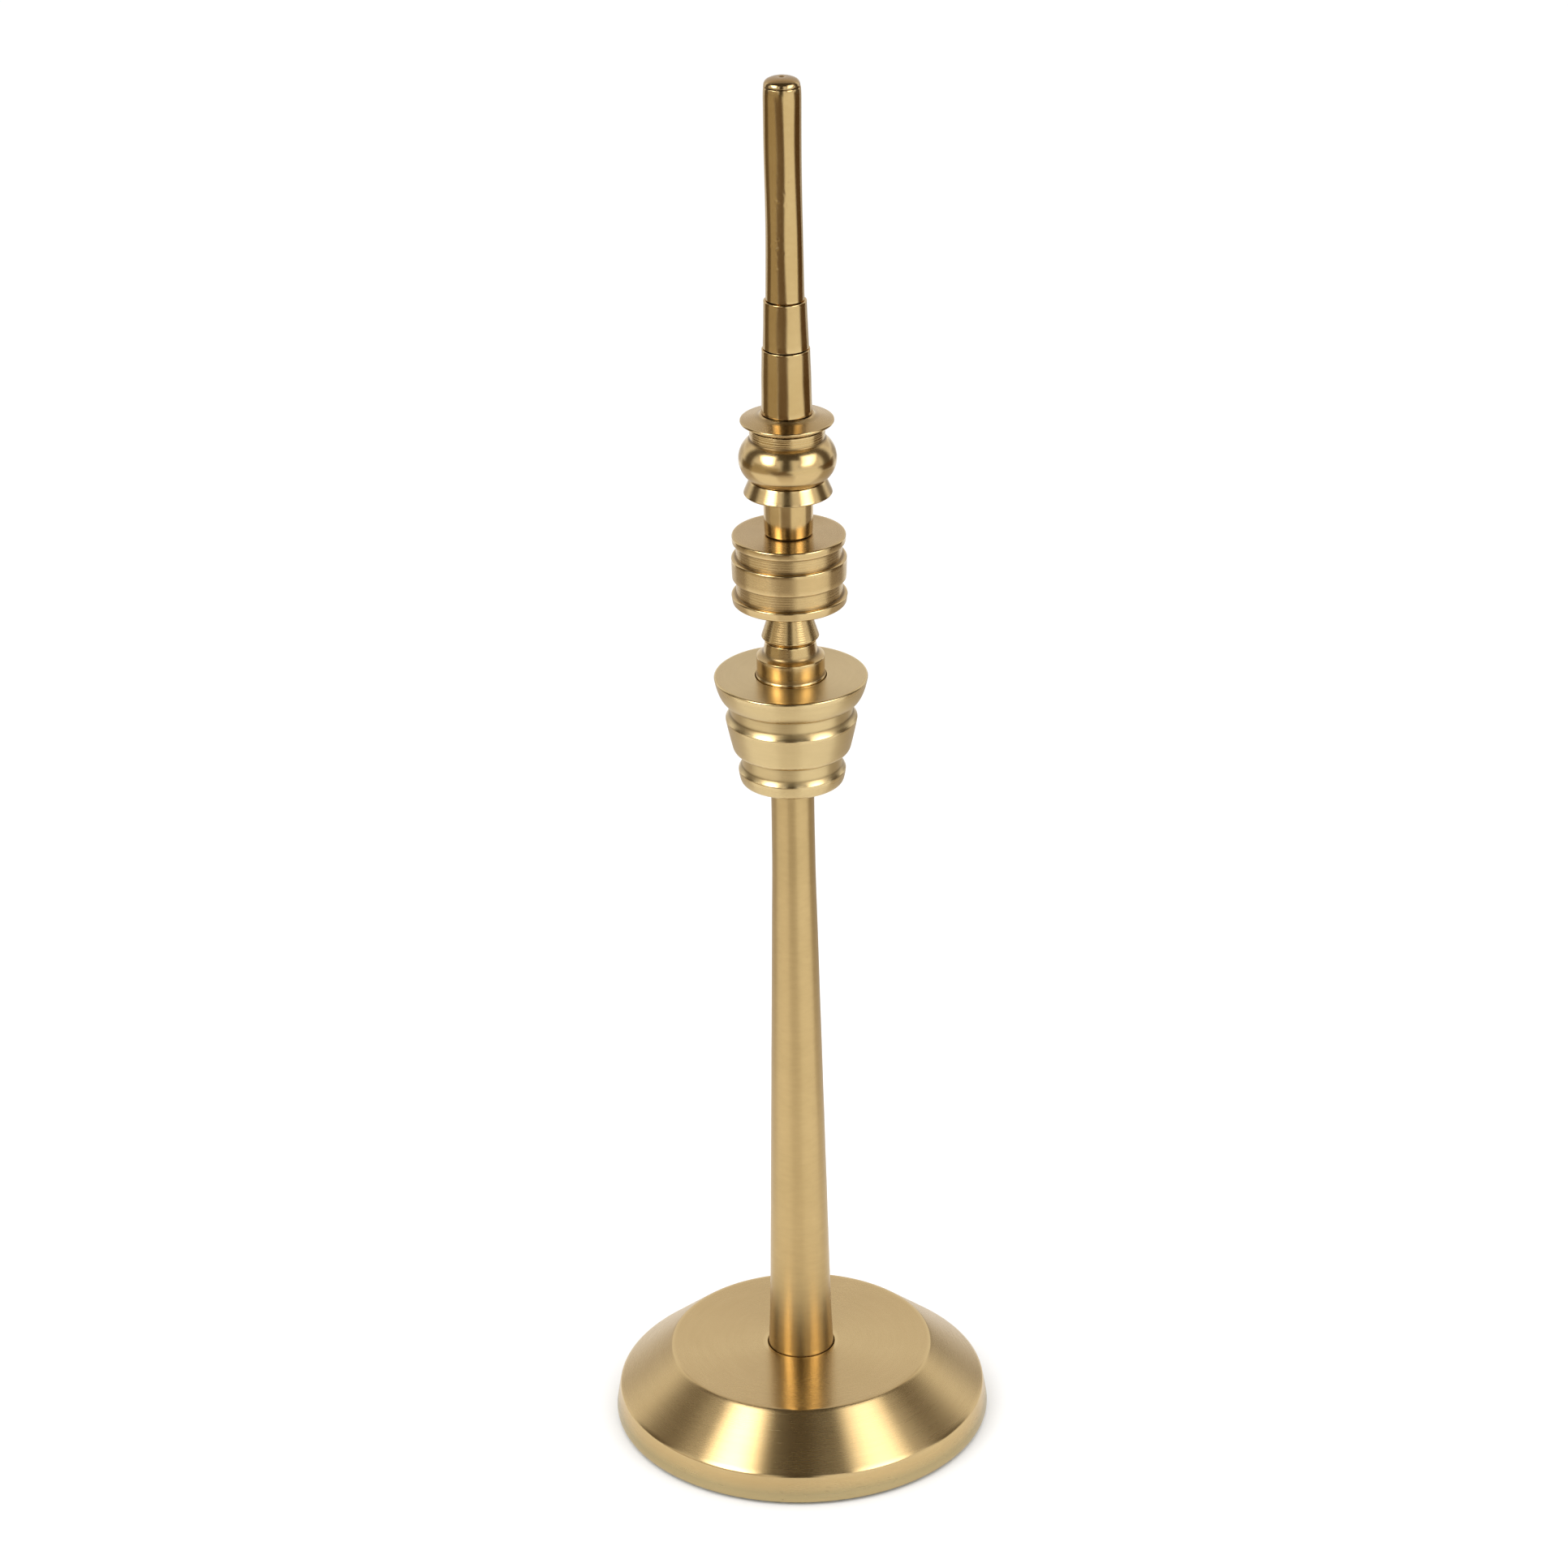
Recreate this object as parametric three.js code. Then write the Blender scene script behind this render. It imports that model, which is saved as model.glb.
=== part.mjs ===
// Altar candlestick in turned brass: a weighted dish base, a tapered stem, a three-tier knop, a grooved
// drum, a bulb under a drip flange and a stepped spire closed by a domed cap. One tie rod draws every
// section together. Millimetres, +Z up, origin on the axis at the underside of the felt.
import * as THREE from 'three';

// Overall sizes. The stem takes up what the other sections leave of the height.
const overallHeight = 609;
const baseDiameter = 165;

// Clearances and seats
const seam = 0.3;          // between two faces that seat on each other
const slip = 0.3;          // radial, between an end and its socket
const seatDepth = 2;       // how far an end reaches into its socket
const rodSlip = 0.5;       // radial, between the tie rod and the bores it passes through
const threadSlip = 0.2;    // radial, between the tie rod and a tapped hole

// Felt pad
const feltThickness = 1;
const feltInset = 2;

// Base casting
const baseHeight = 31.4;
const baseRimHeight = 11.9;
const baseRimDraft = 1.6;
const baseFootRise = 1.4;
const baseFootTuck = 0.35;
const baseRimRound = 1;
const baseFlatDiameter = 114.6;
const baseFlatRound = 0.8;
const baseWall = 3.5;
const bossDiameter = 36;
const bossHeight = 7.5;

// Ballast disc, with a recess for the nut
const ballastThickness = 10;
const ballastClearance = 1.5;
const nutRecessDepth = 6;
const nutRecessClearance = 3;

// Tie rod and its fasteners
const rodDiameter = 8;
const rodChamfer = 0.8;
const rodTail = 2.2;
const rodEngagement = 32;
const washerDiameter = 17;
const washerThickness = 1.6;
const springWasherDiameter = 14;
const springWasherThickness = 2;
const springWasherSplit = 1.6;
const nutAcrossFlats = 13;
const nutHeight = 6.5;

// Stem
const stemBottomDiameter = 28.8;
const stemFlareDiameter = 26.6;
const stemFlareHeight = 27;
const stemTopDiameter = 18.2;
const stemShankLength = 35;
const stemBlend = 20;

// Three-tier knop, tiers from the bottom up: diameters at the low edge, at the turn of the rounded
// corner and at the top edge, then the heights of that turn, of the side and of the bevel above it
const knopTiers = [
  { low: 42, turn: 43.9, top: 45.1, turnHeight: 0.2, height: 5.4, bevel: 2.1 },
  { low: 44.6, turn: 49.8, top: 55.2, turnHeight: 1, height: 15.2, bevel: 2.4 },
  { low: 53.8, turn: 60.6, top: 64.2, turnHeight: 0.9, height: 10.5, bevel: 0.6 },
];
const knopGrooves = [
  { diameter: 42.2, height: 5.9 },
  { diameter: 51.2, height: 5.4 },
];
const knopFaceDiameter = 63;

// Neck ring with its waist
const ringBeadDiameter = 29.2;
const ringBeadHeight = 1;
const ringDiameter = 28.3;
const ringHeight = 9;
const ringSlope = 1.3;
const waistBottomDiameter = 22.5;
const waistTopDiameter = 21.1;
const waistHeight = 5.3;
const waistTenonShoulder = 2;

// Neck cone
const coneFootDiameter = 24.1;
const coneUndercut = 1.7;
const coneTopDiameter = 14.4;
const coneHeight = 16.9;

// Grooved drum: its bands and grooves from the bottom up
const drumBands = [
  { low: 47.1, high: 48, height: 4.1 },
  { low: 47.2, high: 47.6, height: 9.7 },
  { low: 46.8, high: 47, height: 3.6 },
];
const drumGrooves = [
  { diameter: 44, height: 6.6 },
  { diameter: 43.8, height: 6 },
];
const drumBevel = 0.5;

// Spacer tube
const spacerBottomDiameter = 20;
const spacerTopDiameter = 20.8;
const spacerReveal = 17.8;
const spacerCorner = 0.8;
const spacerTenonShoulder = 1.6;

// Bell foot
const footBottomDiameter = 36.6;
const footTopDiameter = 31.5;
const footHeight = 6.3;
const footLip = 1.6;
const footEdge = 0.4;
const footHollow = 2;

// Bulb and its neck
const bulbDiameter = 40.3;
const bulbSectionRadius = 10.5;
const bulbBottomDiameter = 31.7;
const bulbNeckDiameter = 30.9;
const bulbMouthDiameter = 31.2;
const bulbNeckHeight = 4.7;
const bulbTenonDiameter = 22;
const bulbTenonDepth = 1;

// Drip flange
const flangeDiameter = 38.5;
const flangeRimThickness = 1.2;
const flangeDish = 1.9;
const flangeHubMargin = 0.5;
const flangeHubRise = 2.5;
const flangeTenonDiameter = 21;

// Sleeves
const lowerSleeveBottomDiameter = 21;
const lowerSleeveTopDiameter = 19.9;
const lowerSleeveLength = 27.4;
const middleSleeveBottomDiameter = 18.9;
const middleSleeveTopDiameter = 17.7;
const middleSleeveLength = 20;
const sleeveLip = 0.5;

// Spire
const spireBottomDiameter = 16;
const spireWaistDiameter = 15.2;
const spireTopDiameter = 15.6;
const spireMouthDiameter = 14.9;
const spireLength = 87.5;
const spireWaistHeight = 47;
const spireShoulder = 4.8;
const spireWall = 1.3;

// Threaded core inside the sleeves and the foot of the spire
const coreReach = 14;

// Tip cap
const capDiameter = 14.8;
const capHeight = 3.4;
const capShoulderDiameter = 12.6;
const capShoulderHeight = 2.3;
const capTenonLength = 6;

// Facets: sides of a round piece by its size, and steps along a curved stretch of its outline
const sidesLarge = 40;
const sidesMiddle = 28;
const sidesSmall = 20;
const curveSteps = 3;
const plateCurveSteps = 10;

// Radii and heights that follow from the sizes above
const rodRadius = rodDiameter / 2;
const boreRadius = rodRadius + rodSlip;
const coreRadius = spireWaistDiameter / 2 - spireWall - slip;
const coreBoreRadius = coreRadius + slip;
const knopHeight = knopTiers.reduce((sum, tier) => sum + tier.height + tier.bevel, 0)
  + knopGrooves.reduce((sum, groove) => sum + groove.height, 0);
const drumHeight = drumBands.reduce((sum, band) => sum + band.height, 0)
  + drumGrooves.reduce((sum, groove) => sum + groove.height, 0);
const bulbCentreRadius = bulbDiameter / 2 - bulbSectionRadius;
const bulbCentreHeight = riseOnBulb(bulbBottomDiameter);
const bulbNeckStart = bulbCentreHeight + riseOnBulb(bulbNeckDiameter);
const bulbHeight = bulbNeckStart + bulbNeckHeight;
const flangeHeight = flangeDish + flangeRimThickness + flangeHubRise;

// Seats of the sections, counted down from the tip to the knop and up from the felt to the stem
const capSeat = overallHeight - capHeight;
const spireSeat = capSeat - seam - spireLength;
const middleSleeveSeat = spireSeat - seam - middleSleeveLength;
const lowerSleeveSeat = middleSleeveSeat - seam - lowerSleeveLength;
const flangeSeat = lowerSleeveSeat - seam - flangeHeight;
const bulbSeat = flangeSeat - seam - bulbHeight;
const footSeat = bulbSeat - seam - footHeight;
const drumFace = footSeat - spacerReveal;
const drumSeat = drumFace - drumHeight;
const coneSeat = drumSeat - coneHeight;
const waistFace = coneSeat - seam;
const knopFace = waistFace - waistHeight - ringSlope - ringHeight;
const knopSeat = knopFace - knopHeight;
const baseSeat = feltThickness + seam;
const baseFace = baseSeat + baseHeight;

// Hardware under the base, counted down from the boss
const bossFace = baseFace - baseWall - bossHeight;
const ballastSeat = bossFace - seam - ballastThickness;
const washerSeat = ballastSeat + nutRecessDepth - seam - washerThickness;
const springWasherSeat = washerSeat - seam - springWasherThickness;
const nutSeat = springWasherSeat - seam - nutHeight;

const satinBrass = new THREE.MeshStandardMaterial({ color: 0xc2a777, roughness: 0.3, metalness: 1 });
const polishedBrass = new THREE.MeshStandardMaterial({ color: 0xc9a25e, roughness: 0.18, metalness: 1 });
const castIron = new THREE.MeshStandardMaterial({ color: 0x3c3b3a, roughness: 0.8, metalness: 0.7 });
const zincSteel = new THREE.MeshStandardMaterial({ color: 0xaeb0b2, roughness: 0.35, metalness: 1 });
const baizeFelt = new THREE.MeshStandardMaterial({ color: 0x23392b, roughness: 1, metalness: 0 });

const candlestick = new THREE.Group();

// Height on the bulb's round section, from its centre, at which it has the given diameter
function riseOnBulb(diameter) {
  return Math.sqrt(bulbSectionRadius ** 2 - (diameter / 2 - bulbCentreRadius) ** 2);
}

// Starts an outline of (radius, height) points; it runs outwards, up, inwards and back down
function outlineFrom(radius, height) {
  return new THREE.Path().moveTo(radius, height);
}

function addPiece(name, geometry, material, seat) {
  const piece = new THREE.Mesh(geometry, material);
  piece.name = name;
  piece.position.z = seat;
  candlestick.add(piece);
}

// Turns an outline about Z
function addTurned(name, outline, material, seat, sides) {
  const geometry = new THREE.LatheGeometry(outline.getPoints(curveSteps), sides);
  geometry.rotateX(Math.PI / 2);
  addPiece(name, geometry, material, seat);
}

// Extrudes a flat shape up from its seat
function addPlate(name, shape, thickness, material, seat) {
  const options = { depth: thickness, bevelEnabled: false, curveSegments: plateCurveSteps };
  addPiece(name, new THREE.ExtrudeGeometry(shape, options), material, seat);
}

function addFeltPad() {
  const radius = baseDiameter / 2 - feltInset;
  const outline = outlineFrom(0, 0).lineTo(radius, 0).lineTo(radius, feltThickness).lineTo(0, feltThickness);
  addTurned('felt_pad', outline, baizeFelt, 0, sidesLarge);
}

// Inside corners of the hollow dish, one wall in from its rim, slope and flat
function dishInside() {
  const rimRadius = baseDiameter / 2 - baseRimDraft;
  const flatRadius = baseFlatDiameter / 2;
  const slope = Math.atan2(baseHeight - baseRimHeight, rimRadius - flatRadius);
  return {
    slope,
    mouthRadius: baseDiameter / 2 - baseWall,
    rimRadius: rimRadius - baseWall,
    rimHeight: baseRimHeight - baseWall * Math.tan((Math.PI / 2 - slope) / 2),
    flatRadius: flatRadius - baseWall * Math.tan(slope / 2),
    flatHeight: baseHeight - baseWall,
  };
}

function addBaseCasting() {
  const inside = dishInside();
  const radius = baseDiameter / 2;
  const rimRadius = radius - baseRimDraft;
  const flatRadius = baseFlatDiameter / 2;
  const socketRadius = stemBottomDiameter / 2 + slip;
  const along = [Math.cos(inside.slope), Math.sin(inside.slope)];
  const outline = outlineFrom(inside.mouthRadius, 0)
    .lineTo(radius - baseFootTuck, 0)
    .lineTo(radius, baseFootRise)
    .lineTo(rimRadius, baseRimHeight - baseRimRound)
    .quadraticCurveTo(rimRadius, baseRimHeight,
      rimRadius - baseRimRound * along[0], baseRimHeight + baseRimRound * along[1])
    .lineTo(flatRadius + baseFlatRound * along[0], baseHeight - baseFlatRound * along[1])
    .quadraticCurveTo(flatRadius, baseHeight, flatRadius - baseFlatRound, baseHeight)
    .lineTo(socketRadius, baseHeight)
    .lineTo(socketRadius, baseHeight - seatDepth)
    .lineTo(boreRadius, baseHeight - seatDepth)
    .lineTo(boreRadius, inside.flatHeight - bossHeight)
    .lineTo(bossDiameter / 2, inside.flatHeight - bossHeight)
    .lineTo(bossDiameter / 2, inside.flatHeight)
    .lineTo(inside.flatRadius, inside.flatHeight)
    .lineTo(inside.rimRadius, inside.rimHeight)
    .closePath();
  addTurned('base_casting', outline, satinBrass, baseSeat, sidesLarge);
}

// The disc fills the dish under the boss, and its edge follows the inside of the casting
function addBallastDisc() {
  const inside = dishInside();
  const recessRadius = washerDiameter / 2 + nutRecessClearance;
  const edgeRadius = (height) => {
    const above = height - baseSeat;
    const onSlope = inside.flatRadius + (inside.flatHeight - above) / Math.tan(inside.slope);
    return Math.min(onSlope, inside.rimRadius) - ballastClearance;
  };
  const outline = outlineFrom(recessRadius, 0)
    .lineTo(edgeRadius(ballastSeat), 0)
    .lineTo(edgeRadius(ballastSeat + ballastThickness), ballastThickness)
    .lineTo(boreRadius, ballastThickness)
    .lineTo(boreRadius, nutRecessDepth)
    .lineTo(recessRadius, nutRecessDepth)
    .closePath();
  addTurned('ballast_disc', outline, castIron, ballastSeat, sidesMiddle);
}

function addFasteners() {
  const holeRadius = rodRadius + threadSlip;
  const washer = new THREE.Shape().absarc(0, 0, washerDiameter / 2, 0, Math.PI * 2);
  washer.holes.push(new THREE.Path().absarc(0, 0, boreRadius, 0, Math.PI * 2, true));
  addPlate('base_washer', washer, washerThickness, zincSteel, washerSeat);

  const outer = springWasherDiameter / 2;
  const half = springWasherSplit / 2;
  const outerAngle = Math.asin(half / outer);
  const innerAngle = Math.asin(half / boreRadius);
  const spring = new THREE.Shape()
    .absarc(0, 0, outer, outerAngle, Math.PI * 2 - outerAngle)
    .absarc(0, 0, boreRadius, Math.PI * 2 - innerAngle, innerAngle, true)
    .closePath();
  addPlate('spring_washer', spring, springWasherThickness, zincSteel, springWasherSeat);

  const cornerRadius = nutAcrossFlats / 2 / Math.cos(Math.PI / 6);
  const corners = [0, 1, 2, 3, 4, 5].map((corner) => {
    const angle = corner * Math.PI / 3;
    return new THREE.Vector2(cornerRadius * Math.cos(angle), cornerRadius * Math.sin(angle));
  });
  const nut = new THREE.Shape(corners);
  nut.holes.push(new THREE.Path().absarc(0, 0, holeRadius, 0, Math.PI * 2, true));
  addPlate('base_nut', nut, nutHeight, zincSteel, nutSeat);
}

// The rod runs from below the nut up into the core
function addTieRod() {
  const seat = nutSeat - rodTail;
  const length = flangeSeat + rodEngagement - seat;
  const outline = outlineFrom(0, 0)
    .lineTo(rodRadius - rodChamfer, 0)
    .lineTo(rodRadius, rodChamfer)
    .lineTo(rodRadius, length - rodChamfer)
    .lineTo(rodRadius - rodChamfer, length)
    .lineTo(0, length);
  addTurned('tie_rod', outline, zincSteel, seat, sidesSmall);
}

// A flared foot, a straight taper and a parallel shank, seated in the base and in the knop
function addStem() {
  const seat = baseFace - seatDepth + seam;
  const foot = baseFace - seat;
  const length = knopSeat + seatDepth - seam - seat;
  const topRadius = stemTopDiameter / 2;
  const flareRadius = stemFlareDiameter / 2;
  const shankTurn = knopSeat - seat - stemShankLength;
  const taper = (flareRadius - topRadius) / (shankTurn - foot - stemFlareHeight);
  const outline = outlineFrom(boreRadius, 0)
    .lineTo(stemBottomDiameter / 2, 0)
    .lineTo(stemBottomDiameter / 2, foot)
    .quadraticCurveTo(flareRadius + taper * stemFlareHeight / 2, foot + stemFlareHeight / 2,
      flareRadius, foot + stemFlareHeight)
    .lineTo(topRadius + taper * stemBlend, shankTurn - stemBlend)
    .quadraticCurveTo(topRadius, shankTurn, topRadius, shankTurn + stemBlend)
    .lineTo(topRadius, length)
    .lineTo(boreRadius, length)
    .closePath();
  addTurned('lower_stem', outline, satinBrass, seat, sidesMiddle);
}

// Three tiers, each with a rounded low corner and a bevel above its top edge, between plain grooves
function addKnop() {
  const outline = outlineFrom(stemTopDiameter / 2 + slip, 0);
  let height = 0;
  knopTiers.forEach((tier, index) => {
    const groove = knopGrooves[index];
    const inward = groove ? groove.diameter / 2 : knopFaceDiameter / 2;
    outline.lineTo(tier.low / 2, height)
      .quadraticCurveTo(tier.turn / 2, height + tier.turnHeight, tier.top / 2, height + tier.height)
      .lineTo(inward, height + tier.height + tier.bevel);
    height += tier.height + tier.bevel;
    if (groove) {
      height += groove.height;
      outline.lineTo(inward, height);
    }
  });
  const socketRadius = ringBeadDiameter / 2 + slip;
  outline.lineTo(socketRadius, height)
    .lineTo(socketRadius, height - seatDepth)
    .lineTo(boreRadius, height - seatDepth)
    .lineTo(boreRadius, seatDepth)
    .lineTo(stemTopDiameter / 2 + slip, seatDepth)
    .closePath();
  addTurned('three_tier_knop', outline, satinBrass, knopSeat, sidesLarge);
}

// A ring seated in the knop, with a beaded foot, and the waist that carries the cone on a tenon
function addNeckRing() {
  const seat = knopFace - seatDepth + seam;
  const foot = knopFace - seat;
  const shoulder = foot + ringHeight;
  const top = shoulder + ringSlope + waistHeight;
  const tenonRadius = waistTopDiameter / 2 - waistTenonShoulder;
  const outline = outlineFrom(boreRadius, 0)
    .lineTo(ringBeadDiameter / 2, 0)
    .lineTo(ringBeadDiameter / 2, foot + ringBeadHeight / 2)
    .lineTo(ringDiameter / 2, foot + ringBeadHeight)
    .lineTo(ringDiameter / 2, shoulder)
    .lineTo(waistBottomDiameter / 2, shoulder + ringSlope)
    .lineTo(waistTopDiameter / 2, top)
    .lineTo(tenonRadius, top)
    .lineTo(tenonRadius, top + seatDepth)
    .lineTo(boreRadius, top + seatDepth)
    .closePath();
  addTurned('neck_ring', outline, polishedBrass, seat, sidesMiddle);
}

// An undercut foot and a straight cone whose top stands in the drum
function addNeckCone() {
  const socketRadius = waistTopDiameter / 2 - waistTenonShoulder + slip;
  const socketDepth = seatDepth + seam;
  const top = coneHeight + seatDepth - seam;
  const outline = outlineFrom(socketRadius, 0)
    .lineTo(waistTopDiameter / 2, 0)
    .lineTo(coneFootDiameter / 2, coneUndercut)
    .lineTo(coneTopDiameter / 2, coneHeight)
    .lineTo(coneTopDiameter / 2, top)
    .lineTo(boreRadius, top)
    .lineTo(boreRadius, socketDepth)
    .lineTo(socketRadius, socketDepth)
    .closePath();
  addTurned('neck_cone', outline, polishedBrass, coneSeat, sidesMiddle);
}

// Bands with bevelled edges between two flat grooves
function addDrum() {
  const socketRadius = coneTopDiameter / 2 + slip;
  const tenonSocketRadius = spacerBottomDiameter / 2 - spacerTenonShoulder + slip;
  const outline = outlineFrom(socketRadius, 0);
  let height = 0;
  drumBands.forEach((band, index) => {
    const groove = drumGrooves[index];
    outline.lineTo(band.low / 2 - drumBevel, height)
      .lineTo(band.low / 2, height + drumBevel)
      .lineTo(band.high / 2, height + band.height - drumBevel)
      .lineTo(band.high / 2 - drumBevel, height + band.height);
    height += band.height;
    if (groove) {
      outline.lineTo(groove.diameter / 2, height);
      height += groove.height;
      outline.lineTo(groove.diameter / 2, height);
    }
  });
  const tenonSocketDepth = seatDepth + seam;
  outline.lineTo(tenonSocketRadius, height)
    .lineTo(tenonSocketRadius, height - tenonSocketDepth)
    .lineTo(boreRadius, height - tenonSocketDepth)
    .lineTo(boreRadius, seatDepth)
    .lineTo(socketRadius, seatDepth)
    .closePath();
  addTurned('grooved_drum', outline, satinBrass, drumSeat, sidesMiddle);
}

// A tube on a tenon in the drum, its top held in the underside of the bell foot
function addSpacerTube() {
  const seat = drumFace - seatDepth;
  const shoulder = seatDepth + seam;
  const radius = spacerBottomDiameter / 2;
  const tenonRadius = radius - spacerTenonShoulder;
  const top = footSeat + footHollow + seatDepth - seam - seat;
  const outline = outlineFrom(boreRadius, 0)
    .lineTo(tenonRadius, 0)
    .lineTo(tenonRadius, shoulder)
    .lineTo(radius - spacerCorner, shoulder)
    .quadraticCurveTo(radius, shoulder, radius, shoulder + spacerCorner)
    .lineTo(spacerTopDiameter / 2, top)
    .lineTo(boreRadius, top)
    .closePath();
  addTurned('spacer_tube', outline, polishedBrass, seat, sidesMiddle);
}

// A conical skirt, hollow underneath around the spacer, with a socket for the bulb on top
function addBellFoot() {
  const spacerSocketRadius = spacerTopDiameter / 2 + slip;
  const bulbSocketRadius = bulbTenonDiameter / 2 + slip;
  const lipRadius = footBottomDiameter / 2 - footLip;
  const hollowRadius = (lipRadius + spacerSocketRadius) / 2;
  const outline = outlineFrom(lipRadius, 0)
    .lineTo(footBottomDiameter / 2 - footEdge, 0)
    .lineTo(footBottomDiameter / 2, footEdge)
    .lineTo(footTopDiameter / 2, footHeight)
    .lineTo(bulbSocketRadius, footHeight)
    .lineTo(bulbSocketRadius, footHeight - bulbTenonDepth)
    .lineTo(boreRadius, footHeight - bulbTenonDepth)
    .lineTo(boreRadius, footHollow + seatDepth)
    .lineTo(spacerSocketRadius, footHollow + seatDepth)
    .lineTo(spacerSocketRadius, footHollow)
    .lineTo(hollowRadius, footHollow)
    .closePath();
  addTurned('bell_foot', outline, polishedBrass, footSeat, sidesMiddle);
}

// A round-sided bulb and its neck, standing on a short tenon
function addBulbKnop() {
  const tenonFloor = seam - bulbTenonDepth;
  const low = Math.atan2(-bulbCentreHeight, bulbBottomDiameter / 2 - bulbCentreRadius);
  const high = Math.atan2(bulbNeckStart - bulbCentreHeight, bulbNeckDiameter / 2 - bulbCentreRadius);
  const flangeSocketRadius = flangeTenonDiameter / 2 + slip;
  const outline = outlineFrom(boreRadius, tenonFloor)
    .lineTo(bulbTenonDiameter / 2, tenonFloor)
    .lineTo(bulbTenonDiameter / 2, 0)
    .lineTo(bulbBottomDiameter / 2, 0)
    .absarc(bulbCentreRadius, bulbCentreHeight, bulbSectionRadius, low, high)
    .lineTo(bulbMouthDiameter / 2, bulbHeight)
    .lineTo(flangeSocketRadius, bulbHeight)
    .lineTo(flangeSocketRadius, bulbHeight - seatDepth - seam)
    .lineTo(boreRadius, bulbHeight - seatDepth - seam)
    .closePath();
  addTurned('bulb_knop', outline, polishedBrass, bulbSeat, sidesMiddle);
}

// A thin dished rim, a cone rising to the hub, and a tenon down into the bulb
function addDripFlange() {
  const rimRadius = flangeDiameter / 2;
  const rimMiddle = flangeDish + flangeRimThickness / 2;
  const rimTop = flangeDish + flangeRimThickness;
  const outline = outlineFrom(coreBoreRadius, -seatDepth)
    .lineTo(flangeTenonDiameter / 2, -seatDepth)
    .lineTo(flangeTenonDiameter / 2, 0)
    .lineTo(bulbMouthDiameter / 2, 0)
    .lineTo(rimRadius - flangeRimThickness / 2, flangeDish)
    .quadraticCurveTo(rimRadius, flangeDish, rimRadius, rimMiddle)
    .quadraticCurveTo(rimRadius, rimTop, rimRadius - flangeRimThickness / 2, rimTop)
    .lineTo(lowerSleeveBottomDiameter / 2 + flangeHubMargin, flangeHeight)
    .lineTo(coreBoreRadius, flangeHeight)
    .closePath();
  addTurned('drip_flange', outline, satinBrass, flangeSeat, sidesMiddle);
}

// Tapered ferrules on the core, each with a rounded top lip
function addSleeve(name, bottomDiameter, topDiameter, length, seat) {
  const topRadius = topDiameter / 2;
  const outline = outlineFrom(coreBoreRadius, 0)
    .lineTo(bottomDiameter / 2, 0)
    .lineTo(topRadius, length - sleeveLip)
    .quadraticCurveTo(topRadius, length, topRadius - sleeveLip, length)
    .lineTo(coreBoreRadius, length)
    .closePath();
  addTurned(name, outline, polishedBrass, seat, sidesMiddle);
}

// A tube with a slight waist and a rounded shoulder at its mouth
function addUpperSpire() {
  const shoulderHeight = spireLength - spireShoulder;
  const profile = new THREE.SplineCurve([
    new THREE.Vector2(spireBottomDiameter / 2, 0),
    new THREE.Vector2(spireWaistDiameter / 2, spireWaistHeight),
    new THREE.Vector2(spireTopDiameter / 2, shoulderHeight),
  ]);
  const outline = outlineFrom(coreBoreRadius, 0).lineTo(spireBottomDiameter / 2, 0);
  outline.curves.push(profile);
  outline.currentPoint.set(spireTopDiameter / 2, shoulderHeight);
  outline
    .quadraticCurveTo(spireTopDiameter / 2, spireLength - spireShoulder / 2,
      spireMouthDiameter / 2, spireLength)
    .lineTo(coreBoreRadius, spireLength)
    .closePath();
  addTurned('upper_spire', outline, polishedBrass, spireSeat, sidesMiddle);
}

// The core ties the flange, the sleeves and the spire to the rod
function addThreadedCore() {
  const tappedRadius = rodRadius + threadSlip;
  const seat = flangeSeat;
  const length = spireSeat + coreReach - seat;
  const outline = outlineFrom(tappedRadius, 0)
    .lineTo(coreRadius, 0)
    .lineTo(coreRadius, length)
    .lineTo(tappedRadius, length)
    .closePath();
  addTurned('threaded_core', outline, satinBrass, seat, sidesSmall);
}

// A round shoulder and a low dome, on a tenon in the spire
function addTipCap() {
  const shoulderRadius = capShoulderDiameter / 2;
  const outline = outlineFrom(0, -capTenonLength)
    .lineTo(coreRadius, -capTenonLength)
    .lineTo(coreRadius, 0)
    .lineTo(capDiameter / 2, 0)
    .quadraticCurveTo(capDiameter / 2, capShoulderHeight / 2, shoulderRadius, capShoulderHeight)
    .quadraticCurveTo(shoulderRadius / 2, capHeight, 0, capHeight);
  addTurned('tip_cap', outline, polishedBrass, capSeat, sidesSmall);
}

addFeltPad();
addBaseCasting();
addBallastDisc();
addFasteners();
addTieRod();
addStem();
addKnop();
addNeckRing();
addNeckCone();
addDrum();
addSpacerTube();
addBellFoot();
addBulbKnop();
addDripFlange();
addSleeve('lower_sleeve', lowerSleeveBottomDiameter, lowerSleeveTopDiameter,
  lowerSleeveLength, lowerSleeveSeat);
addSleeve('middle_sleeve', middleSleeveBottomDiameter, middleSleeveTopDiameter,
  middleSleeveLength, middleSleeveSeat);
addUpperSpire();
addThreadedCore();
addTipCap();

export default candlestick;
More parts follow.
